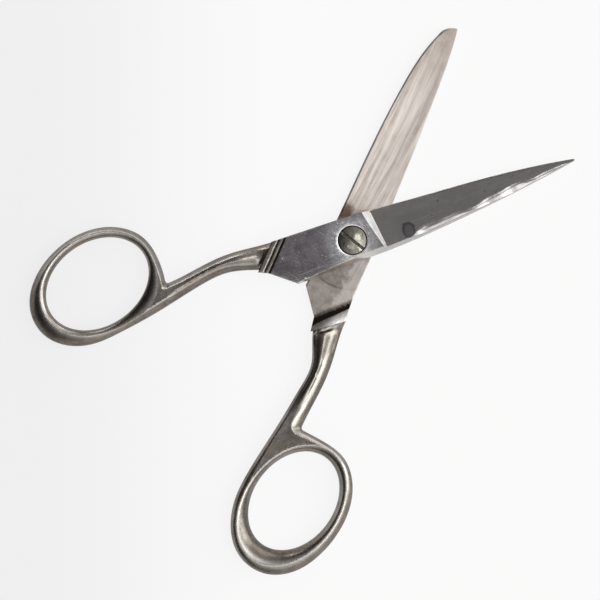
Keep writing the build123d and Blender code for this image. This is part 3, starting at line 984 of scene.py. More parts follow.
# The turn that lays each half on the table, and which way its outer face looks
LAID = {"front": (90 - OPEN_ANGLE / 2, 1), "rear": (90 + OPEN_ANGLE / 2, -1)}


def lying(body):
    """The turning and the shift that put a half down on the table."""
    turn, facing = LAID[body]
    along = (cos(radians(turn)), sin(radians(turn)), 0)
    across = (-along[1] * facing, along[0] * facing, 0)
    return np.array([along, across, (0, 0, facing)]).T, np.array((0, 0, TABLE_TO_JOINT))


# ------------------------------------------------------------------ node helpers

class Value:
    """An output socket to reckon with: each operation adds a math node."""

    def __init__(self, nodes, socket):
        self.nodes = nodes
        self.socket = socket

    def __add__(self, other):
        return self.nodes.math("ADD", self, other)

    def __sub__(self, other):
        return self.nodes.math("SUBTRACT", self, other)

    def __mul__(self, other):
        return self.nodes.math("MULTIPLY", self, other)

    def __truediv__(self, other):
        return self.nodes.math("DIVIDE", self, other)

    def __rtruediv__(self, other):
        return self.nodes.math("DIVIDE", other, self)

    def __or__(self, other):
        """The larger of two values."""
        return self.nodes.math("MAXIMUM", self, other)

    def __abs__(self):
        return self.nodes.math("ABSOLUTE", self)

    def held(self):
        """The value, held between 0 and 1."""
        return self.nodes.math("ADD", self, 0.0, clamp=True)

    def smooth(self, low, high):
        """0 below low, 1 above high, and a smooth step between."""
        inputs = {"Value": self, "From Min": low, "From Max": high}
        return self.nodes.value("ShaderNodeMapRange", inputs, interpolation_type="SMOOTHSTEP")

    def spread(self, low, high):
        """A share from 0 to 1 turned into a value between low and high."""
        return self.nodes.value("ShaderNodeMapRange", {"Value": self, "To Min": low, "To Max": high})


class Nodes:
    """Builds a node tree. Textures are looked up at `place`, or where a call says."""

    def __init__(self, tree):
        self.tree = tree
        self.place = None

    def node(self, kind, inputs=None, **settings):
        """A new node, with its settings and its named or numbered inputs."""
        node = self.tree.nodes.new(kind)
        for name, value in settings.items():
            setattr(node, name, value)
        for name, value in (inputs or {}).items():
            self.feed(node.inputs[name], value)
        return node

    def feed(self, socket, value):
        """Links a socket to a value, or sets it to a number, a vector or a colour."""
        if isinstance(value, Value):
            self.tree.links.new(value.socket, socket)
        else:
            socket.default_value = (*value, 1) if socket.type == "RGBA" else value

    def value(self, kind, inputs=None, output=0, **settings):
        """One output of a new node."""
        return Value(self, self.node(kind, inputs, **settings).outputs[output])

    def values(self, kind, inputs=None, **settings):
        """All outputs of a new node, by name."""
        return {output.name: Value(self, output) for output in self.node(kind, inputs, **settings).outputs}

    def math(self, operation, first, second=0.0, clamp=False):
        return self.value("ShaderNodeMath", {0: first, 1: second}, operation=operation, use_clamp=clamp)

    def mix(self, share, first, second, blend="MIX"):
        """The first colour with a share of the second."""
        inputs = {0: share, 6: first, 7: second}
        return self.value("ShaderNodeMix", inputs, 2, data_type="RGBA", blend_type=blend)

    def noise(self, scale, detail=2.0, roughness=0.5, place=None, output="Fac"):
        inputs = {"Vector": place or self.place, "Scale": scale, "Detail": detail, "Roughness": roughness}
        return self.value("ShaderNodeTexNoise", inputs, output)

    def mapping(self, scale=(1, 1, 1), turn=0.0, shift=(0, 0, 0), place=None):
        """A place scaled, turned about its third axis and shifted."""
        inputs = {"Vector": place or self.place, "Location": shift, "Rotation": (0, 0, turn), "Scale": scale}
        return self.value("ShaderNodeMapping", inputs)

    def length(self, vector):
        return self.value("ShaderNodeVectorMath", {0: vector}, "Value", operation="LENGTH")

    def dot(self, vector, direction):
        inputs = {0: vector, 1: tuple(direction)}
        return self.value("ShaderNodeVectorMath", inputs, "Value", operation="DOT_PRODUCT")

    def parts(self, vector=None):
        """A vector's three parts."""
        return self.values("ShaderNodeSeparateXYZ", {0: vector or self.place}).values()

    def joined(self, x, y, z):
        return self.value("ShaderNodeCombineXYZ", {"X": x, "Y": y, "Z": z})

    def effect(self, name, inputs, place=None):
        """The outputs of an effect group, which is built when it is first needed."""
        tree = bpy.data.node_groups.get(name) or EFFECTS[name]()
        return self.values("ShaderNodeGroup", {"Position": place or self.place, **inputs}, node_tree=tree)


# ------------------------------------------------------------------ effects

def effect_group(name, inputs, outputs):
    """An empty node group with named sockets: its nodes, what it is given, and where its results go."""
    tree = bpy.data.node_groups.new(name, "ShaderNodeTree")
    for direction, sockets in (("INPUT", {"Position": "Vector", **inputs}), ("OUTPUT", outputs)):
        for socket, kind in sockets.items():
            tree.interface.new_socket(socket, in_out=direction, socket_type=f"NodeSocket{kind}")
    n = Nodes(tree)
    given = n.values("NodeGroupInput")
    n.place = given["Position"]
    return n, given, n.node("NodeGroupOutput").inputs


def cloudy_tone():
    """Two tones of one metal in soft clouds with a finer mottle."""
    n, given, result = effect_group(
        "Cloudy Tone",
        {"Cloud Size": "Float", "Plain": "Color", "Dull": "Color"},
        {"Color": "Color", "Mask": "Float"},
    )
    inputs = {0: n.place, "Scale": 1.0 / given["Cloud Size"]}
    n.place = n.value("ShaderNodeVectorMath", inputs, operation="SCALE")
    mask = (n.noise(7.0, 3.0, 0.65) * 0.45 + n.noise(1.0, 3.0, 0.55)).smooth(0.55, 0.95)
    n.feed(result["Color"], n.mix(mask, given["Plain"], given["Dull"]))
    n.feed(result["Mask"], mask)
    return n.tree


def drawn_lines():
    """Grinding lines and scratches along the first axis."""
    n, given, result = effect_group(
        "Drawn Lines",
        {"Line Length": "Float", "Line Width": "Float"},
        {"Lines": "Float", "Deep Lines": "Float"},
    )
    x, y, z = n.parts()
    n.place = n.joined(x / given["Line Length"], y / given["Line Width"], z)
    n.feed(result["Lines"], n.noise(1.0, 3.0, 0.7).smooth(0.3, 0.7))
    deep = n.noise(1.0, 1.0, place=n.mapping((0.6, 1.7, 1.0), 0.1, (7, 3, 0)))
    n.feed(result["Deep Lines"], deep.smooth(0.66, 0.74))
    return n.tree


def specks():
    """Scattered small marks, such as pits or scuffs."""
    n, given, result = effect_group("Specks", {"Spacing": "Float", "Share": "Float"}, {"Mask": "Float"})
    warp = {0: n.noise(2.2, 1.0, output="Color"), 1: (0.5, 0.5, 0.0), 2: n.place}
    bent = n.value("ShaderNodeVectorMath", warp, operation="MULTIPLY_ADD")
    cells = n.values("ShaderNodeTexVoronoi", {"Vector": bent, "Scale": 1.0 / given["Spacing"]})
    random = n.values("ShaderNodeSeparateColor", {0: cells["Color"]})
    chosen = n.math("LESS_THAN", random["Red"], given["Share"])
    size = random["Green"] * 0.28 + 0.10
    n.feed(result["Mask"], chosen * cells["Distance"].smooth(size, size * 0.4))
    return n.tree


def wear_sheen_grime_and_shade():
    """Bright rubbed edges with painted highlights, and dark dirt with painted shade in the grooves and
    hollows, broken up by noise.
    """
    metal = {"Color": "Color", "Roughness": "Float"}
    n, given, result = effect_group(
        "Wear And Grime",
        {
            **metal, "Wear And Sheen": "Float", "Grime And Shade": "Float", "Worn And Sheen Color": "Color", "Film Color": "Color",
            "Grime Color": "Color", "Wear Amount": "Float", "Grime Amount": "Float",
        },
        metal,
    )
    patchy = n.noise(0.8, 3.0, 0.6)
    ragged = n.noise(1.9, 4.0, 0.65)
    # Rubbed edges and painted highlights take the light colour; every darkened place takes a brown tint,
    # which is tarnish and painted shade on the sides near the table; dirt and painted shade in the grooves
    # take the near-black colour.
    worn_and_sheen = (given["Wear And Sheen"] * patchy.spread(0.35, 1.25) * given["Wear Amount"]).held()
    film_and_shade = (given["Grime And Shade"] * patchy.spread(1.8, 4.5)).held()
    dirt_and_shade = ((ragged * 1.5 + given["Grime And Shade"]).smooth(1.2, 1.5) * given["Grime Amount"]).held()
    color = n.mix(worn_and_sheen, given["Color"], given["Worn And Sheen Color"])
    color = n.mix(film_and_shade, color, given["Film Color"], "MULTIPLY")
    n.feed(result["Color"], n.mix(dirt_and_shade, color, given["Grime Color"]))
    n.feed(result["Roughness"], (given["Roughness"] + worn_and_sheen * 0.18 + film_and_shade * 0.2 + dirt_and_shade * 0.4).held())
    return n.tree


EFFECTS = {
    "Cloudy Tone": cloudy_tone,
    "Drawn Lines": drawn_lines,
    "Specks": specks,
    "Wear And Grime": wear_sheen_grime_and_shade,
}


# ------------------------------------------------------------------ materials

# What the marks on a steel are tinted with
BROWN_STAIN = (0.30, 0.25, 0.20)
PLATE_PIT = (0.12, 0.10, 0.08)
RUBBED_STEEL = (0.72, 0.72, 0.73)
BRIGHT_SCUFF = (0.86, 0.86, 0.88)
BLADE_PIT = (0.16, 0.16, 0.16)
WARM_BLADE = (0.60, 0.58, 0.50)
DARK_REFLECTION_SPOT = (0.10, 0.09, 0.11)
TARNISHED = (0.33, 0.30, 0.275)
TARNISHED_DULL = (0.20, 0.175, 0.155)
WORN_ARC = (0.14, 0.11, 0.09)
DARK_BROWN_PATCH = (0.15, 0.095, 0.07)
SHADED_BACK_BEVEL = (0.46, 0.45, 0.445)
SHADED_RICASSO_BEVEL = (0.66, 0.63, 0.57)
SCREW_PIT = (0.07, 0.07, 0.05)

# Where the marks are, in millimetres in a half's own frame
SCUFFED_RING = 5.7  # round the screw
WORN_ARC_RADIUS = 15.3
# Where the painted dark reflection lies on the front blade
DARK_REFLECTION_SCALE, DARK_REFLECTION_AT = (1, 0.85), (17.2, -2.3)  # the place is scaled first
# Where the dark brown patch lies on the inner face beside the pivot
DARK_PATCH_SCALE, DARK_PATCH_AT = (0.30, 0.42), (2.1, -2.35)

# How deep each relief is, in millimetres
COARSE_RELIEF = 0.05
BEVEL_RELIEF = 0.004
SCREW_RELIEF = 0.16


class Material(Nodes):
    """A material with one Principled shader."""

    def __init__(self, name):
        self.material = bpy.data.materials.new(name)
        self.material.use_nodes = True
        super().__init__(self.material.node_tree)
        self.tree.nodes.clear()
        self.output = self.node("ShaderNodeOutputMaterial")
        self.shader = self.node("ShaderNodeBsdfPrincipled")
        self.show(Value(self, self.shader.outputs[0]))

    def show(self, surface):
        self.feed(self.output.inputs["Surface"], surface)

    def shade(self, inputs):
        for name, value in inputs.items():
            self.feed(self.shader.inputs[name], value)


class Metal(Material):
    """A steel. Its cloudy tone is tinted step by step, and then given its rubbed edges and painted
    highlights, its dirt and painted shade, and its relief.

    Its place is in millimetres, in its half's own frame wherever the half has turned to.
    """

    def __init__(self, name, body, look, cloud_size, plain, dull, stretch=(1, 1, 1)):
        super().__init__(name)
        self.look = look
        turn, facing, shift = 0, 1, 0
        if body:
            turn, facing = LAID[body]
            turn, shift = -facing * turn, -facing * TABLE_TO_JOINT
        place = self.values("ShaderNodeTexCoord")["Object"]
        scale = (1 / MILLIMETRE, facing / MILLIMETRE, facing / MILLIMETRE)
        self.place = self.mapping(scale, radians(turn), (0, 0, shift), place)
        tone = {"Cloud Size": cloud_size, "Plain": plain, "Dull": dull}
        self.color, self.clouds = self.effect("Cloudy Tone", tone, self.mapping(stretch)).values()

    def away(self, scale=(1, 1), centre=(0, 0)):
        """The distance along the blade's plan from a centre, where the place has been scaled."""
        shift = (-centre[0], -centre[1], 0)
        return self.length(self.mapping((*scale, 0), shift=shift))

    def tint(self, share, color):
        self.color = self.mix(share, self.color, color)

    def lines(self, length, width, place=None):
        """Grinding lines, and the deep ones among them."""
        return self.effect("Drawn Lines", {"Line Length": length, "Line Width": width}, place).values()

    def specks(self, spacing, share, place=None):
        return self.effect("Specks", {"Spacing": spacing, "Share": share}, place)["Mask"]

    def finished(self, roughness, relief, depth=COARSE_RELIEF):
        """Adds rubbed edges with painted highlights, dirt with painted shade, and relief, and gives the
        material.
        """
        look = self.look
        wear_and_sheen, grime_and_shade = (
            self.value("ShaderNodeAttribute", output="Fac", attribute_name=mark) for mark in Forging.MARKS
        )
        worn_and_sheen = self.effect("Wear And Grime", {
            "Color": self.color, "Roughness": roughness, "Wear And Sheen": wear_and_sheen, "Grime And Shade": grime_and_shade,
            "Worn And Sheen Color": look.worn_and_sheen_color, "Film Color": look.film_and_shade_color, "Grime Color": look.grime_and_shade_color,
            "Wear Amount": look.wear_and_sheen, "Grime Amount": look.grime_and_shade,
        })
        bump = {"Strength": 1.0, "Distance": depth * MILLIMETRE, "Height": relief}
        normal = self.value("ShaderNodeBump", bump)
        self.shade({
            "Base Color": worn_and_sheen["Color"], "Roughness": worn_and_sheen["Roughness"], "Metallic": 1.0, "Normal": normal,
        })
        return self.material


def plated_nickel(body, look):
    """Old nickel plate on the handles and mouldings."""
    m = Metal(f"{body}_plated_nickel", body, look, 6.0, look.plated, look.plated_dull)
    m.tint(m.noise(0.13, 4.0, 0.6).smooth(0.56, 0.70) * 0.55, BROWN_STAIN)
    pits = m.specks(1.3, 0.16)
    m.tint(pits * 0.6, PLATE_PIT)
    scratches, _ = m.lines(3.0, 0.12)
    roughness = m.noise(0.5, 3.0, 0.6).spread(0.09, 0.33)
    return m.finished(roughness, scratches * 0.02 + m.noise(0.42) + pits * -0.05)


def ricasso_steel(body, look):
    """Scuffed flat steel between the bolster and the blade, rubbed brighter round the screw."""
    m = Metal(f"{body}_ricasso_steel", body, look, 5.0, look.ricasso, look.ricasso_dull)
    x, _, _ = m.parts()
    from_pivot = m.away()
    broad = m.noise(0.16)
    scuffs = m.specks(1.15, 0.22) | m.specks(0.55, 0.13, m.mapping(turn=0.7, shift=(3, 5, 0)))
    scuffs = scuffs * m.noise(0.22, 1.0).smooth(0.4, 0.6).spread(0.25, 1.0)
    ring = abs(from_pivot - SCUFFED_RING).smooth(1.6, 0.3) * m.noise(0.9, 3.0, 0.6).smooth(0.47, 0.62)
    scuffs = scuffs | ring * 0.5
    lines, deep = m.lines(9.0, 0.22)
    _, across = m.lines(6.0, 0.16, m.mapping(turn=0.9))
    deep = deep | across * 0.7
    m.tint((broad * -14.0 - x).smooth(-6.0, 8.0) * 0.75, look.ricasso_dull)
    m.tint(lines * 0.35, look.ricasso_dull)
    m.tint((broad * 7.0 + from_pivot).smooth(13.0, 8.0) * 0.6, RUBBED_STEEL)
    m.tint(deep * 0.35, look.bevel)
    m.tint(scuffs * 0.75, BRIGHT_SCUFF)
    relief = deep * -0.04 + m.noise(0.30) + scuffs * -0.04
    return m.finished((scuffs | m.clouds).spread(0.17, 0.34), relief)


def blade_mirror(body, look):
    """The polished outer face of a blade, faintly streaked along its length."""
    m = Metal(f"{body}_blade_mirror", body, look, 4.5, look.blade, look.blade_dull, (0.4, 1, 1))
    x, _, _ = m.parts()
    lines, deep = m.lines(14.0, 0.35)
    m.tint(lines * 0.30, look.blade_dull)
    m.tint(deep * 0.18, look.bevel)
    m.tint(m.specks(1.6, 0.10) * 0.5, BLADE_PIT)
    m.tint(x.smooth(15.5, 13.0) * 0.25, WARM_BLADE)
    # A painted dark reflection on the front blade: a round dark spot with a darker rim, near the shoulder.
    if body == "front":
        far = m.noise(0.6) * 1.6 + m.away(DARK_REFLECTION_SCALE, DARK_REFLECTION_AT)
        m.tint((far.smooth(3.1, 2.5) * 0.55 | abs(far - 2.5).smooth(0.55, 0.15)) * 0.8, DARK_REFLECTION_SPOT)
    waves = m.noise(1.0, 3.0, 0.6, m.mapping((0.16, 0.5, 0.5)))
    return m.finished((m.clouds | lines).spread(0.07, 0.17), lines * 0.03 + waves)


def ground_steel(body, look):
    """The ground inner face: warm, satin and streaked, with the arc that the other half wears into it."""
    m = Metal(f"{body}_ground_steel", body, look, 3.2, look.ground, look.ground_dull)
    x, y, z = m.parts()
    sweep = x * 0.02 - 0.7
    bent = m.joined(x, y + sweep * sweep * 2.2, z)
    broad, _ = m.lines(34.0, 1.5, bent)
    fine, deep = m.lines(7.0, 0.22, bent)
    on_blade = x.smooth(6.0, 16.0) * x.smooth(72.0, 42.0)
    m.tint(broad * on_blade.spread(0.1, 1.0), look.ground_bright)
    m.tint(fine * 0.22, look.ground_dull)
    m.tint(deep * 0.25, look.ground_bright)
    from_pivot = m.noise(0.5) * 0.5 + m.away()
    behind_pivot = x.smooth(-1.0, -5.0)
    tarnished = (m.noise(0.2) * 8.0 + x).smooth(13.0, 2.0)
    m.tint(tarnished * 0.95, m.mix(m.clouds, TARNISHED, TARNISHED_DULL))
    unworn = from_pivot.smooth(WORN_ARC_RADIUS, WORN_ARC_RADIUS + 0.3) * behind_pivot
    m.tint(unworn * 0.12, look.ground_bright)
    rubbed = (m.noise(0.35, 3.0, 0.6) * 9.0 + y).smooth(6.5, 9.5)
    m.tint(rubbed * behind_pivot * 0.38, look.ground_bright)
    arc = abs(from_pivot - WORN_ARC_RADIUS).smooth(0.45, 0.08) * behind_pivot
    m.tint(arc * rubbed.spread(0.6, 0.1), WORN_ARC)
    # A dark brown patch beside the pivot, stretched along the blade.
    from_dark_patch = m.noise(0.7, 3.0, 0.6) * 0.9 + m.away(DARK_PATCH_SCALE, DARK_PATCH_AT)
    m.tint(from_dark_patch.smooth(1.6, 0.85) * 0.95, DARK_BROWN_PATCH)
    return m.finished((m.clouds | fine).spread(0.36, 0.50), fine * 0.10 + broad * 0.35)


def bright_bevel(body, look):
    """Shoulder and back bevels, polished bright with fine lines across them, with painted shade that makes
    the back bevel and the bevel under the ricasso darker copies of the same steel.
    """
    m = Metal(f"{body}_bright_bevel", body, look, 3.0, look.bevel, look.bevel_dull)
    x, y, _ = m.parts()
    lines, _ = m.lines(8.0, 0.25)
    m.tint(lines * 0.4, look.bevel_dull)
    # Painted shade: the back bevel and the bevel under the ricasso are darker copies of the bevel steel.
    on_back = x.smooth(9.5, 10.2) | y.smooth(-4.3, -4.9)
    m.tint(on_back * lines.spread(1.0, 0.8), SHADED_BACK_BEVEL)
    under_ricasso = x.smooth(8.0, 2.0) * y.smooth(-4.0, -5.0)
    m.tint(under_ricasso * lines.spread(0.95, 0.75), SHADED_RICASSO_BEVEL)
    on_step = x.smooth(-16.0, -18.0)
    return m.finished(on_step * 0.12 + lines.spread(0.12, 0.26), lines, BEVEL_RELIEF)


def screw_steel(look):
    """The dull old screw, with dirt and painted shade in its slot and round its head."""
    m = Metal("pivot_screw_steel", None, look, 3.4, look.screw, look.screw_dull)
    lines, _ = m.lines(4.0, 0.2)
    m.tint(lines * 0.3, look.screw_dull)
    pits = m.specks(0.9, 0.25)
    m.tint(pits * 0.7, SCREW_PIT)
    return m.finished(m.clouds.spread(0.18, 0.36), pits * -0.2 + m.noise(0.55), SCREW_RELIEF)


# In the order of PLATED, RICASSO, BLADE, GROUND and BRIGHT
FINISHES = (plated_nickel, ricasso_steel, blade_mirror, ground_steel, bright_bevel)


# ------------------------------------------------------------------ pieces

def make_half(half, other, body, look):
    """One half of the shears: its plate and its handle, forged in one piece."""
    finishes = [finish(body, look) for finish in FINISHES]
    plate = Plate(half, other)
    if half is FRONT:
        rings = [SEAT_RADIUS + beyond for beyond in (RIM_WIDTH, 0, -STEEP, 0.9)]
        blade = plate.forge(BORE_RADIUS, rings)
    else:
        blade = plate.forge(THREAD_RADIUS, ())
    handle = forge_handle(half, plate)
    piece = laid_out(f"{body}_forging", [blade, handle], lying(body), finishes)
    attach(piece, body)
    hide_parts(f"{body}_half")


def make_screw(look):
    """The slotted pivot screw, with a domed head."""
    outline = circle(HEAD_RADIUS)
    half_slot = SLOT_WIDTH / 2
    turn = radians(SLOT_TURN)
    along = np.array((cos(turn), sin(turn)))
    aside = np.array((-along[1], along[0]))
    thread = THREAD_RADIUS - THREAD_CLEARANCE
    rings = (*HEAD_RINGS, SHANK_RADIUS, SHANK_RADIUS - STEEP, thread, thread - STEEP)
    lines = [(circle(radius), True) for radius in rings]
    for beyond in (SLOT_BEVEL, 0, -STEEP, -SLOT_SHADE_WIDTH, -0.2):
        for offset in (-half_slot - beyond, half_slot + beyond):
            line = straight(-5 * along + offset * aside, 5 * along + offset * aside, 0.3)
            lines.append((line[inside(line, outline)], False))
    plan = filled(outline, [], lines, HANDLE_SPACING)
    spots = plan[0]
    away = np.hypot(*spots.T)
    rise = HEAD_TOP - HEAD_SHOULDER
    dome = (HEAD_RADIUS**2 + rise**2) / (2 * rise)
    top = HEAD_TOP - dome + np.sqrt(dome**2 - away**2)
    fallen = np.maximum(away - (HEAD_RADIUS - HEAD_ROUNDING), 0)
    top = top - HEAD_ROUNDING + np.sqrt(np.maximum(HEAD_ROUNDING**2 - fallen**2, 0))
    off_slot = np.abs(spots @ aside) - half_slot
    in_slot = off_slot < -STEEP / 2
    # Painted shade with dirt: light on the slot's floor, darkest along its walls, and round the head's edge;
    # the slot's lips are rubbed bright with a painted highlight.
    slot_grime_and_shade = np.where(off_slot > -SLOT_SHADE_WIDTH, 1.0, 0.3)
    grime_and_shade = np.maximum(np.where(in_slot, slot_grime_and_shade, 0), rising(away, 4.15, 0.125))
    wear_and_sheen = fading(np.abs(off_slot - 0.04), 0.1)
    top = np.where(in_slot, SLOT_FLOOR, top - np.maximum(SLOT_BEVEL - off_slot, 0))
    bottom = np.where(away > SHANK_RADIUS - STEEP / 2, HEAD_UNDERSIDE, RUNNING_GAP)
    bottom = np.where(away < thread - STEEP / 2, SCREW_END, bottom)
    forging = Forging()
    forging.slab(plan, (top, 0, wear_and_sheen, grime_and_shade), (bottom, 0, 0.0, 0.0), lambda middles: 0)
    place = (np.eye(3), np.array((0, 0, TABLE_TO_JOINT)))
    piece = laid_out("slotted_screw", [forging.mesh("screw")], place, [screw_steel(look)])
    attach(piece, "rear")
    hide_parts("pivot_screw")


# ------------------------------------------------------------------ stage

RIGHT = Vector((0.66262, 0.74896, 0)).normalized()
UP = Vector((-RIGHT.y, RIGHT.x, 0))

# Each soft panel: turn round the table, fall from the zenith, where it starts and ends to fade, strength
PANELS = (
    (-70, 19, 5, 10, 1.9),
    (-25, 34, 8, 15, 3.8),
    (20, 20, 4, 8, 2.6),
    (12, 64, 12, 22, 3.0),
    (62, 82, 14, 30, 1.8),
    (111, 89, 5, 12, 3.3),
)
CEILING = (112, 8, 13, 19)  # the same for the grey field that the flat faces mirror

FLOOR_SIZE = 3.0
FLOOR_DROP = 0.00005
SHADED_PAPER = (0.86, 0.86, 0.87)
SHADED_GLOW = (0.90, 0.90, 0.905)
PAPER_GLOW = (0.99, 0.99, 0.99)


def aimed(turn, from_zenith):
    """The direction `turn` degrees round the table from the camera's right, and down from the zenith."""
    turn, fall = radians(turn), radians(from_zenith)
    return (RIGHT * cos(turn) + UP * sin(turn)) * sin(fall) + Vector((0, 0, cos(fall)))


def make_world(stage):
    """A studio room, darker to the left, with soft white panels."""
    world = bpy.data.worlds.new("studio")
    bpy.context.scene.world = world
    world.use_nodes = True
    world.node_tree.nodes.clear()
    n = Nodes(world.node_tree)
    n.place = n.values("ShaderNodeTexCoord")["Generated"]
    warp = n.noise(3.5, 1.0) * 0.12 - 0.06

    def facing(turn, fall, low, high):
        return (n.dot(n.place, aimed(turn, fall)) + warp).smooth(low, high)

    def panel(turn, fall, inner, outer):
        return facing(turn, fall, cos(radians(outer)), cos(radians(inner)))

    sky = n.mix(facing(-10, 90, -0.75, 0.6), stage.room_left, stage.room_right)
    sky = n.mix(panel(*CEILING), sky, stage.ceiling)
    for *shape, strength in PANELS:
        sky = n.mix(panel(*shape), sky, (strength,) * 3)
    seen = n.values("ShaderNodeLightPath")["Is Camera Ray"]
    light = n.value("ShaderNodeBackground", {"Color": n.mix(seen, sky, (1, 1, 1)), "Strength": 1.0})
    n.node("ShaderNodeOutputWorld", {"Surface": light})


def make_floor(stage):
    """White paper, with painted shade towards the left, which the camera and the steel see mostly as a plain
    glow.
    """
    bm = bmesh.new()
    bmesh.ops.create_grid(bm, x_segments=1, y_segments=1, size=FLOOR_SIZE)
    mesh = bpy.data.meshes.new("floor")
    bm.to_mesh(mesh)
    bm.free()
    floor = bpy.data.objects.new("floor", mesh)
    bpy.context.scene.collection.objects.link(floor)
    floor.location.z = -FLOOR_DROP
    m = Material("floor_paper")
    shade = m.dot(m.values("ShaderNodeTexCoord")["Object"], RIGHT).smooth(-0.10, -0.02)
    paper = m.mix(shade, SHADED_PAPER, stage.floor)
    m.shade({"Base Color": paper, "Roughness": 0.6, "Specular IOR Level": 0.1})
    glow = m.value("ShaderNodeEmission", {"Color": m.mix(shade, SHADED_GLOW, PAPER_GLOW)})
    rays = m.values("ShaderNodeLightPath")
    seen = rays["Is Camera Ray"] | (rays["Is Glossy Ray"] | rays["Is Transmission Ray"])
    plain = Value(m, m.shader.outputs[0])
    m.show(m.value("ShaderNodeMixShader", {0: seen * stage.white_share, 1: plain, 2: glow}))
    mesh.materials.append(m.material)


def make_camera(stage):
    """A camera straight above the shears."""
    camera_data = bpy.data.cameras.new("camera")
    camera = bpy.data.objects.new("camera", camera_data)
    distance = stage.camera_height
    camera_data.angle = 2 * atan(stage.view_width / 2 / (distance - TABLE_TO_JOINT * MILLIMETRE))
    camera_data.clip_start = 0.01
    camera_data.clip_end = 10
    rotation = Matrix((RIGHT, UP, Vector((0, 0, 1)))).transposed()
    centre = Vector((sum(corner[0] for corner in cad_box) / 2, sum(corner[1] for corner in cad_box) / 2, 0))
    spot = centre + stage.shift_right * RIGHT + stage.shift_up * UP
    spot.z = distance
    camera.matrix_world = Matrix.Translation(spot) @ rotation.to_4x4()
    bpy.context.scene.collection.objects.link(camera)
    bpy.context.scene.camera = camera


# ------------------------------------------------------------------ settings and operators

def colour(name, description, default):
    return FloatVectorProperty(
        name=name, description=description, default=default, size=3, min=0.0, max=1.0, subtype="COLOR"
    )


def amount(name, description, default):
    return FloatProperty(
        name=name, description=description, default=default, min=0.0, max=1.0, subtype="FACTOR"
    )


def distance(name, description, default, lowest=-1.0):
    return FloatProperty(name=name, description=description, default=default, min=lowest, unit="LENGTH")


class ShearsLook(bpy.types.PropertyGroup):
    """Colours and wear of the steel."""

    plated: colour("Plate", "Nickel plate on handles and mouldings", (0.36, 0.33, 0.295))
    plated_dull: colour("Dull plate", "Tarnished parts of the plate", (0.24, 0.215, 0.19))
    ricasso: colour("Ricasso", "Flat steel round the pivot", (0.46, 0.455, 0.47))
    ricasso_dull: colour("Dull ricasso", "Its darker clouds", (0.18, 0.165, 0.175))
    blade: colour("Blade", "Polished outer face", (0.5, 0.485, 0.475))
    blade_dull: colour("Dull blade", "Its darker streaks", (0.4, 0.385, 0.37))
    ground: colour("Ground face", "Inner faces", (0.63, 0.565, 0.515))
    ground_dull: colour("Dull ground face", "Darker grinding marks", (0.52, 0.45, 0.405))
    ground_bright: colour("Bright ground face", "Lighter streaks", (0.95, 0.88, 0.82))
    bevel: colour("Bevel", "Bright bevels", (0.93, 0.93, 0.93))
    bevel_dull: colour("Dull bevel", "Their darker lines", (0.8, 0.8, 0.8))
    screw: colour("Screw", "Screw head", (0.43, 0.42, 0.37))
    screw_dull: colour("Dull screw", "Its dark patches", (0.2, 0.19, 0.155))
    # The light colour marks rubbed edges and painted highlights; the brown and the near-black colours mark
    # dirt and painted shade.
    worn_and_sheen_color: colour("Worn And Sheen edge", "Where plate has rubbed bright", (0.82, 0.80, 0.76))
    film_and_shade_color: colour("Film And Shade", "Brown film that dulls the sides", (0.39, 0.36, 0.325))
    grime_and_shade_color: colour("Grime colour", "Dirt in grooves", (0.035, 0.027, 0.023))
    wear_and_sheen: amount("Wear And Sheen", "How bright the edges are rubbed", 0.55)
    grime_and_shade: amount("Grime And Shade", "How much grime the grooves hold", 0.95)


class ShearsStage(bpy.types.PropertyGroup):
    """Room, floor and camera."""

    room_left: colour("Room, left", "The dark side of the room", (0.045, 0.044, 0.042))
    room_right: colour("Room, right", "The light side of the room", (0.74, 0.73, 0.71))
    ceiling: colour("Ceiling", "What the flat faces mirror", (0.26, 0.26, 0.265))
    floor: colour("Paper", "The floor's colour", (0.95, 0.95, 0.945))
    white_share: amount("White share", "How far the camera sees the floor as plain white", 0.88)
    camera_height: distance("Camera height", "Above the table", 0.8, 0.3)
    view_width: distance("View width", "Width in view at the joint plane", 0.1833, 0.01)
    shift_right: distance("Camera right", "From the middle of the shears", -0.00995)
    shift_up: distance("Camera up", "From the middle of the shears", -0.00791)


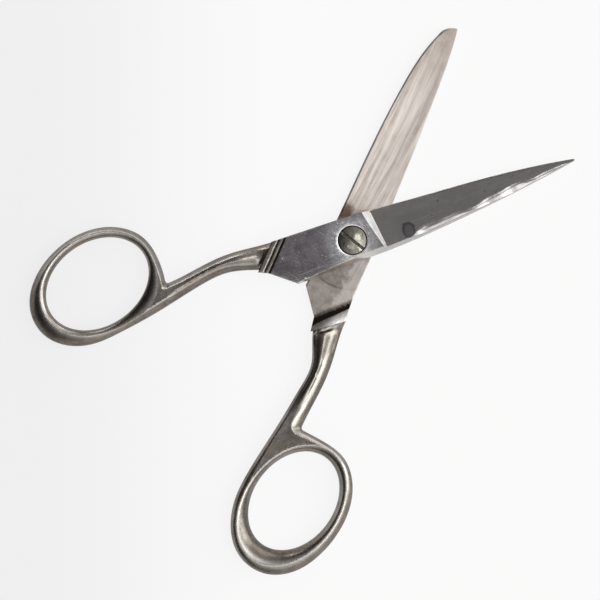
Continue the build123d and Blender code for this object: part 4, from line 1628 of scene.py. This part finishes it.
class SHEARS_OT_front_half(bpy.types.Operator):
    """Forge the front half, whose outer face is up"""

    bl_idname = "shears.front_half"
    bl_label = "Front half"

    def execute(self, context):
        make_half(FRONT, REAR, "front", context.scene.shears_look)
        return {"FINISHED"}


class SHEARS_OT_rear_half(bpy.types.Operator):
    """Forge the rear half, whose inner face is up"""

    bl_idname = "shears.rear_half"
    bl_label = "Rear half"

    def execute(self, context):
        make_half(REAR, FRONT, "rear", context.scene.shears_look)
        return {"FINISHED"}


class SHEARS_OT_screw(bpy.types.Operator):
    """Turn the slotted pivot screw"""

    bl_idname = "shears.screw"
    bl_label = "Pivot screw"

    def execute(self, context):
        make_screw(context.scene.shears_look)
        return {"FINISHED"}


class SHEARS_OT_stage(bpy.types.Operator):
    """Set out the floor, the light and the camera"""

    bl_idname = "shears.stage"
    bl_label = "Stage"

    def execute(self, context):
        stage = context.scene.shears_stage
        make_world(stage)
        make_floor(stage)
        make_camera(stage)
        context.scene.view_settings.view_transform = "Standard"
        return {"FINISHED"}


OPERATORS = (SHEARS_OT_front_half, SHEARS_OT_rear_half, SHEARS_OT_screw, SHEARS_OT_stage)


class SHEARS_PT_panel(bpy.types.Panel):
    """Lists the pieces and the settings"""

    bl_label = "Fabric Shears"
    bl_idname = "SHEARS_PT_panel"
    bl_space_type = "VIEW_3D"
    bl_region_type = "UI"
    bl_category = "Shears"

    def draw(self, context):
        column = self.layout.column()
        for operator in OPERATORS:
            column.operator(operator.bl_idname)
        for settings in (context.scene.shears_look, context.scene.shears_stage):
            for name in settings.__annotations__:
                column.prop(settings, name)


CLASSES = (ShearsLook, ShearsStage, *OPERATORS, SHEARS_PT_panel)


def register():
    for added in CLASSES:
        bpy.utils.register_class(added)
    bpy.types.Scene.shears_look = PointerProperty(type=ShearsLook)
    bpy.types.Scene.shears_stage = PointerProperty(type=ShearsStage)


def unregister():
    del bpy.types.Scene.shears_stage
    del bpy.types.Scene.shears_look
    for added in reversed(CLASSES):
        bpy.utils.unregister_class(added)


def main():
    register()
    for operator in OPERATORS:
        getattr(bpy.ops.shears, operator.bl_idname.split(".")[1])()


if __name__ == "__main__":
    main()
